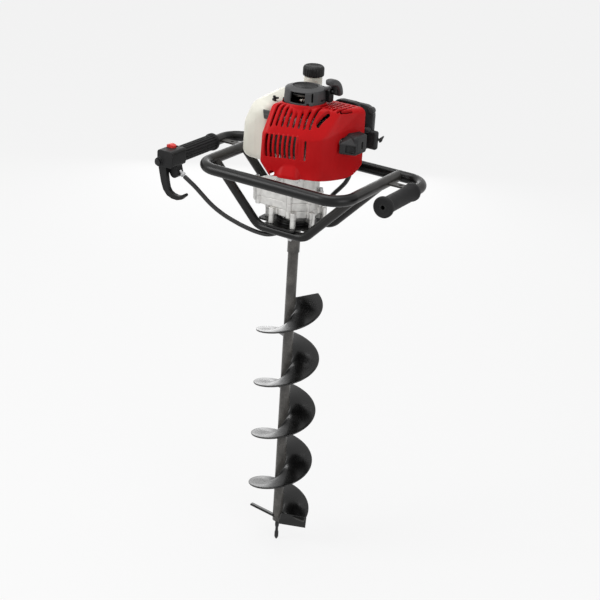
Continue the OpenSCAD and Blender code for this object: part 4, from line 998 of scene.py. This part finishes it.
# sunk disc with fine turned rings
def makeDisc():
    top = starter["top"]
    r = starter["discRadius"]
    profile = [(r, top - 3.6), (r, top - 2.2)]
    for k in range(starter["discRings"]):
        edge = r - 1 - k * starter["discPitch"]
        profile += [
            (edge, top - 2.0), (edge - 1.4, top - 2.0), (edge - 1.6, top - 2.3), (edge - 3.0, top - 2.3)]
    disc = lathe(profile, along("z", (*starter["at"], 0)))
    crisp(addPiece("starterDisc", disc, "blackNylon", "frame", ["starter_disc"]))


# dished black disc in the drum's foot under the spring: painted shade, a dark sheet that makes the windows
# look dark
def makeShadeDisc():
    low = starter["low"]
    plate = cut(
        lathe([(r, low + up) for r, up in starter["plate"]], along("z", (*starter["at"], 0))),
        prism(ringOutline(starter["shadeDiscHole"], 64, starter["at"]), 8, along("z", (0, 0, low))))
    crisp(addPiece("shadeDisc", plate, "blackNylon", "frame"))


makeStarter()
makeDisc()
makeShadeDisc()
print("starter housing moulded")

cap = {
    "radius": 23.6, "low": 306.0, "ribs": 24, "ribDepth": 1.1, "bore": 18.3, "boreDepth": 7.3, "steps": 360,
    # up the rim, over the brow and in across the dished top: inset, height, share of the ribs' depth
    "levels": [
        (-2.2, 0.0, 0.0), (-1.0, 0.7, 0.2), (-0.2, 2.2, 0.6), (0.0, 4.0, 1.0), (0.0, 15.5, 1.0),
        (-0.3, 17.6, 0.9), (-1.0, 19.6, 0.6), (-2.4, 21.6, 0.25), (-4.4, 22.7, 0.0), (-6.0, 23.0, 0.0),
        (-7.0, 22.6, 0.0), (-7.6, 21.8, 0.0), (-9.0, 21.5, 0.0), (-12.0, 21.4, 0.0), (-12.4, 22.0, 0.0),
        (-14.4, 22.0, 0.0), (-14.8, 21.4, 0.0), (-22.9, 21.3, 0.0)],
}


# ribbed rim with a rounded brow, and a dished top with a raised ring
def makeCap():
    x, y = tank["neckAt"]
    rings = []
    for inset, h, depth in cap["levels"]:
        ring = []
        for k in range(cap["steps"]):
            turn = 2 * math.pi * k / cap["steps"]
            dip = max(0.0, math.cos(turn * cap["ribs"])) ** 0.6 * cap["ribDepth"] * depth
            r = cap["radius"] + inset - dip
            ring.append(Vector((x + r * math.cos(turn), y + r * math.sin(turn), cap["low"] + h)))
        rings.append(ring)
    bore = prism(ringOutline(cap["bore"], at=(x, y)), cap["boreDepth"], along("z", (0, 0, cap["low"] - 2)))
    form = cut(loft(rings), bore)
    crisp(addPiece("capMoulding", form, "blackNylon", "cap", ["tank_cap"]), 50)


makeCap()
print("cap ribbed")

handle = {
    "at": (64.0, 4.0, 288.0), "radius": 37.0, "start": 1.0, "sweep": 101.0, "thick": 6.6, "wide": 9.2,
    "fuller": 0.1, "stations": 48, "endStations": 4, "spokes": 32,
    # radius and length of the stem along the rope, the web that joins it to the bar, and the rope's hole
    "stem": [(4.6, 0), (5.2, 0.8), (5.2, 6), (5.6, 9), (5.6, 12), (5, 14)], "stemFrom": 54.3,
    "web": [(63, 29.75, 297, 5.0), (64, 26, 316, 4.6), (64, 33, 314, 4.6)], "hole": 1.8, "holeFrom": 50,
}


# pull handle: an arched bar, fuller in the middle, with rounded ends
def makeHandle():
    middle = Vector(handle["at"])
    rings = []
    for i in range(handle["stations"] + 1):
        share = i / handle["stations"]
        turn = math.radians(handle["start"] + handle["sweep"] * share)
        end = min(share, 1 - share) * handle["stations"]
        close = math.sqrt(max(0.02, 1 - max(0.0, 1 - end / handle["endStations"]) ** 2))
        full = 1 + handle["fuller"] * math.sin(math.pi * share)
        out = Vector((0, math.cos(turn), math.sin(turn)))
        ring = []
        for k in range(handle["spokes"]):
            a = 2 * math.pi * k / handle["spokes"]
            c = math.cos(a)
            s = math.sin(a)
            flat = (abs(c) ** 4 + abs(s) ** 4) ** -0.25  # squarer than an ellipse
            ring.append(
                middle + out * (handle["radius"] + handle["thick"] * full * close * flat * c)
                + Vector((handle["wide"] * full * close * flat * s, 0, 0)))
        rings.append(ring)
    bar = mould(loft(rings), 0.7, 4, 0.6)
    addPiece("pullHandle", bar, "greyNylon", "pull_handle", ["starter_handle"])


# short stem that the rope is knotted in
def makeStem():
    stem = lathe(handle["stem"], along("x", (handle["stemFrom"], *starter["ropeAt"])), 48, closed=False)
    form = cut(
        mould(joined([stem, ballSkin(handle["web"], rings=8)]), 0.7, 4, 0.6),
        prism(ringOutline(handle["hole"], 24, starter["ropeAt"]), 12, along("x", (handle["holeFrom"], 0, 0))))
    addPiece("handleStem", form, "blackNylon", "pull_handle")


rope = {
    "from": 27.0, "to": 61.5, "radius": 1.7, "strands": 8, "layMm": 6.0, "relief": 0.07,
    "rings": 140, "spokes": 32,
    # it stays with the housing before the first place and with the handle after the second, in metres
    "held": 0.030, "pulled": 0.058,
}


# braided cord between the pulley and the handle
def makeRope():
    y, z = starter["ropeAt"]
    rings = []
    for i in range(rope["rings"] + 1):
        x = rope["from"] + (rope["to"] - rope["from"]) * i / rope["rings"]
        twist = 2 * math.pi * x / rope["layMm"]
        ring = []
        for k in range(rope["spokes"]):
            a = 2 * math.pi * k / rope["spokes"]
            half = rope["strands"] * a / 2
            r = rope["radius"] * (1 + rope["relief"] * math.cos(half + twist) * math.cos(half - twist))
            ring.append(Vector((x, y + r * math.cos(a), z + r * math.sin(a))))
        rings.append(ring)
    piece = dressed("pullRope", loft(rings), "braidedRope")
    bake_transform(piece)
    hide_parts("starter_rope")


makeHandle()
makeStem()
makeRope()
print("handle arched and roped")

airFilter = {
    # rounded outlines, each by its place along Y, centre, size, corner and the ball that rounds its edge
    "case": [
        (79, (82, 222), (104, 100), 22, 2.4), (84, (82, 222), (104, 100), 22, 5.0),
        (102, (77, 217), (74, 72), 20, 8.6)],
    "base": [(69, (72, 221.5), (78, 105), 24, 2.6), (80, (72, 221.5), (78, 105), 24, 2.6)],
    "hollow": {"width": 92, "height": 66, "r": 18, "at": (220, 72)},
    "wall": 2.2, "split": 76.6, "bossAt": (128.0, 262.0), "boss": [(7.0, 0), (8.0, 1), (8.0, 8)],
    "ribHeights": (-16, 0, 16), "ribHalf": 24, "ribAt": 110, "ribRadius": 1.4,
    # centres of the balls of the choke's block, by x, y and z, and its arm, pin and knob
    "block": ((127.5, 144.6), (72, 76), (183.5, 215), 5), "chokeAt": (82.0, 200.0),
    "arm": ((130, 145), (74, 82), (200,), 4), "pin": [(2.4, 0), (2.4, 18), (1.8, 18.6)], "pinFrom": 138,
    "knob": [(121, 62, 221, 5.4), (129, 66, 221, 6.4), (124, 72, 221, 6)],
    "leverAt": 152.4, "leverEye": 4, "leverRadius": 1.9, "leverTip": (12, 5), "tipRadius": 1.6,
    # places round the lever's eye, in radians
    "eyeTurns": (0, 1.05, 2.1, 3.14, 4.2, 5.2), "leverHole": 2.7,
}


# balls round an outline seen along Y
def outlineBalls(y, centre, size, corner, edge, inset=0.0):
    balls = []
    for sx, sz, base in ((1, 1, 0), (-1, 1, 90), (-1, -1, 180), (1, -1, 270)):
        for k in range(7):
            a = math.radians(base + 15 * k)
            balls.append((
                centre[0] + sx * (size[0] / 2 - corner) + (corner - edge) * math.cos(a), y,
                centre[1] + sz * (size[1] / 2 - corner) + (corner - edge) * math.sin(a), edge - inset))
    return balls


# ribbed cover with a screw boss, over a flat base
def makeAirFilter():
    split = airFilter["split"]
    outer = ballSkin([ball for ring in airFilter["case"] for ball in outlineBalls(*ring)], rings=8)
    inner = ballSkin([
        (x, y + 3, z, r) for ring in airFilter["case"]
        for x, y, z, r in outlineBalls(*ring, airFilter["wall"])], rings=8)
    bossX, bossZ = airFilter["bossAt"]
    boss = lathe(airFilter["boss"], along("y", (bossX, split - 3, bossZ)), 40)
    x, z = airFilter["case"][-1][1]
    half, ribAt, ribRadius = (airFilter[key] for key in ("ribHalf", "ribAt", "ribRadius"))
    ribs = [
        ballSkin([(x + side, ribAt, z + up, ribRadius) for side in (-half, half)], rings=6)
        for up in airFilter["ribHeights"]]
    case = cut(outer, inner, block((0, 40, 100), (180, split, 320)))
    form = mould(joined([case, boss] + ribs), 0.9, 3, 0.4)
    addPiece("filterCaseMoulding", form, "greyNylon", "frame", ["filter_cover"])
    plate = ballSkin([ball for ring in airFilter["base"] for ball in outlineBalls(*ring)], rings=8)
    hollow = prism(roundRect(**airFilter["hollow"]), 20, along("y", (0, split - 2, 0)))
    base = mould(cut(plate, hollow), 0.9, 3, 0.4)
    addPiece("filterBaseMoulding", base, "blackNylon", "frame", ["filter_base"])


# block that carries the choke, with its pin and a small knob, and the short lever on the pin
def makeChoke():
    y, z = airFilter["chokeAt"]
    lump = ballSkin(boxBalls(*airFilter["block"]), rings=8)
    arm = ballSkin(boxBalls(*airFilter["arm"]), rings=8)
    pin = lathe(airFilter["pin"], along("x", (airFilter["pinFrom"], y, z)), 24)
    form = mould(joined([lump, arm, pin, ballSkin(airFilter["knob"], rings=10)]), 0.7, 2, 0.5)
    addPiece("chokeBlock", form, "charcoalNylon", "frame")
    x = airFilter["leverAt"]
    r = airFilter["leverRadius"]
    tipY, tipZ = airFilter["leverTip"]
    out = airFilter["leverEye"]
    eye = [(y + out * math.cos(a), z + out * math.sin(a)) for a in airFilter["eyeTurns"]]
    balls = [(x, y, z, r), (x, y + tipY, z + tipZ, airFilter["tipRadius"])]
    balls += [(x, *place, r) for place in eye]
    lever = cut(
        ballSkin(balls, rings=8),
        prism(ringOutline(airFilter["leverHole"], 24, (y, z)), 10, along("x", (x - 4.4, 0, 0))))
    addPiece("chokeLever", lever, "blackNylon", "choke", ["choke_lever"])


makeAirFilter()
makeChoke()
print("air filter moulded")

grip = {
    "at": (258.0, -76.0, 117.0), "radius": 18.0, "flange": 23.0, "length": 128.0, "hole": 4.8, "bore": 12.55,
}


# right grip: a moulded sleeve with a flange, a raised rim and a hole in its end
def makeGrip():
    r = grip["radius"]
    f = grip["flange"]
    end = grip["length"]
    profile = [
        (9, -4.6), (9.6, -5.2), (f - 6.2, -5.4), (f - 5.2, -6), (f - 3, -6), (f - 1, -5.2), (f, -3), (f, 2),
        (f - 0.8, 4.2), (f - 3, 6.4), (r + 0.6, 9), (r, 12), (r - 0.3, end / 2), (r, end - 15),
        (r + 1.4, end - 12.6), (r + 2, end - 11), (r + 2, end - 5), (r + 0.6, end - 1.6), (r - 1, end)]
    place = along("y", grip["at"])
    form = cut(
        lathe(profile, place), prism(ringOutline(grip["bore"], 64), end + 2, place),
        prism(ringOutline(grip["hole"]), 20, place @ Matrix.Translation((0, 0, -10))))
    crisp(addPiece("rightGrip", form, "gripRubber", "frame", ["grip_right"]), 40)


makeGrip()
print("grip moulded")

flight = {
    "outer": 75.0, "inner": 11.9, "pitch": 136.6, "turns": 4.18, "start": 78.0, "thick": 4.0, "weld": 3.0,
    "stepsPerTurn": 96,
}


# the spiral sheet, rolled thinner to a rounded rim and welded to the shaft with a fillet
def makeFlight():
    half = flight["thick"] / 2
    inner = flight["inner"]
    outer = flight["outer"]
    side = [
        (inner, half + flight["weld"]), (inner + 0.9, half + 1.4), (inner + 2.2, half + 0.4),
        (inner + 4.5, half), (inner + 16, half), (inner + 32, half), (inner + 48, half * 0.97),
        (outer - 5, half * 0.94), (outer - 1.4, half * 0.9), (outer - 0.5, half * 0.72),
        (outer - 0.1, half * 0.4)]
    section = side + [(outer, 0)] + [(r, -up) for r, up in reversed(side)]
    count = round(flight["turns"] * flight["stepsPerTurn"])
    rings = []
    for i in range(count + 1):
        turn = 2 * math.pi * i / flight["stepsPerTurn"]
        rise = flight["start"] + flight["pitch"] * i / flight["stepsPerTurn"] - headHeight / mm
        rings.append([Vector((r * math.cos(turn), r * math.sin(turn), rise + up)) for r, up in section])
    crisp(addPiece("spiralFlight", loft(rings), "drillEnamel", "auger", ["auger_flight"]), 40)


makeFlight()
print("flight rolled")

blade = {
    # corners in mm above the pilot's tip: the edge welded under the flight, then the cutting edge
    "weld": [(12, -1, 78.5), (74, 15, 81)], "edge": [(15, -17, 57), (77, 7, 57)],
    # share of the way to the cutting edge, and thickness there
    "grind": [(0.0, 5.0), (0.62, 5.0), (0.9, 2.2), (1.0, 1.2)],
}


# cutting blade: a ground plate, thick at the weld and thin at its edge
def makeBlade():
    weld = [Vector(p) for p in blade["weld"]]
    edge = [Vector(p) for p in blade["edge"]]
    down = (edge[0] - weld[0]).normalized()
    through = (weld[1] - weld[0]).cross(down).normalized()
    rings = []
    for share, thick in blade["grind"]:
        near, far = (w.lerp(e, share) for w, e in zip(weld, edge))
        rings.append([near, far, far - through * thick, near - through * thick])
    form = mould(loft(rings), 0.5, 2, 0.4)
    form.transform(Matrix.Translation((0, 0, -headHeight / mm)))
    addPiece("cuttingPlate", form, "drillEnamel", "auger", ["cutting_blade"])


makeBlade()
print("blade ground")

# castings and mouldings of the frame that keep their shape, with their edges rounded
softened = {
    # node: cell in mm, rounds of relaxing, share of faces kept
    "gear_case_lower": (0.9, 3, 0.4), "gear_case_middle": (0.9, 3, 0.4), "gear_case_upper": (0.9, 3, 0.4),
    "crankcase": (1.0, 3, 0.4), "throttle_housing": (0.8, 4, 0.5), "throttle_lever": (0.6, 5, 0.5),
    "stop_switch": (0.4, 3, 0.5), "grip_left": (0.8, 3, 0.5), "rope_guide": (0.7, 3, 0.5),
    "carburettor": (0.8, 3, 0.5), "wing_blade": (0.7, 2, 0.5), "base_plate": (0.8, 2, 0.4),
}
for name, (cellMm, rounds, keep) in softened.items():
    addSteps(nodes[name], rounding(cellMm * mm, rounds, keep))
print("edges softened:", len(softened))
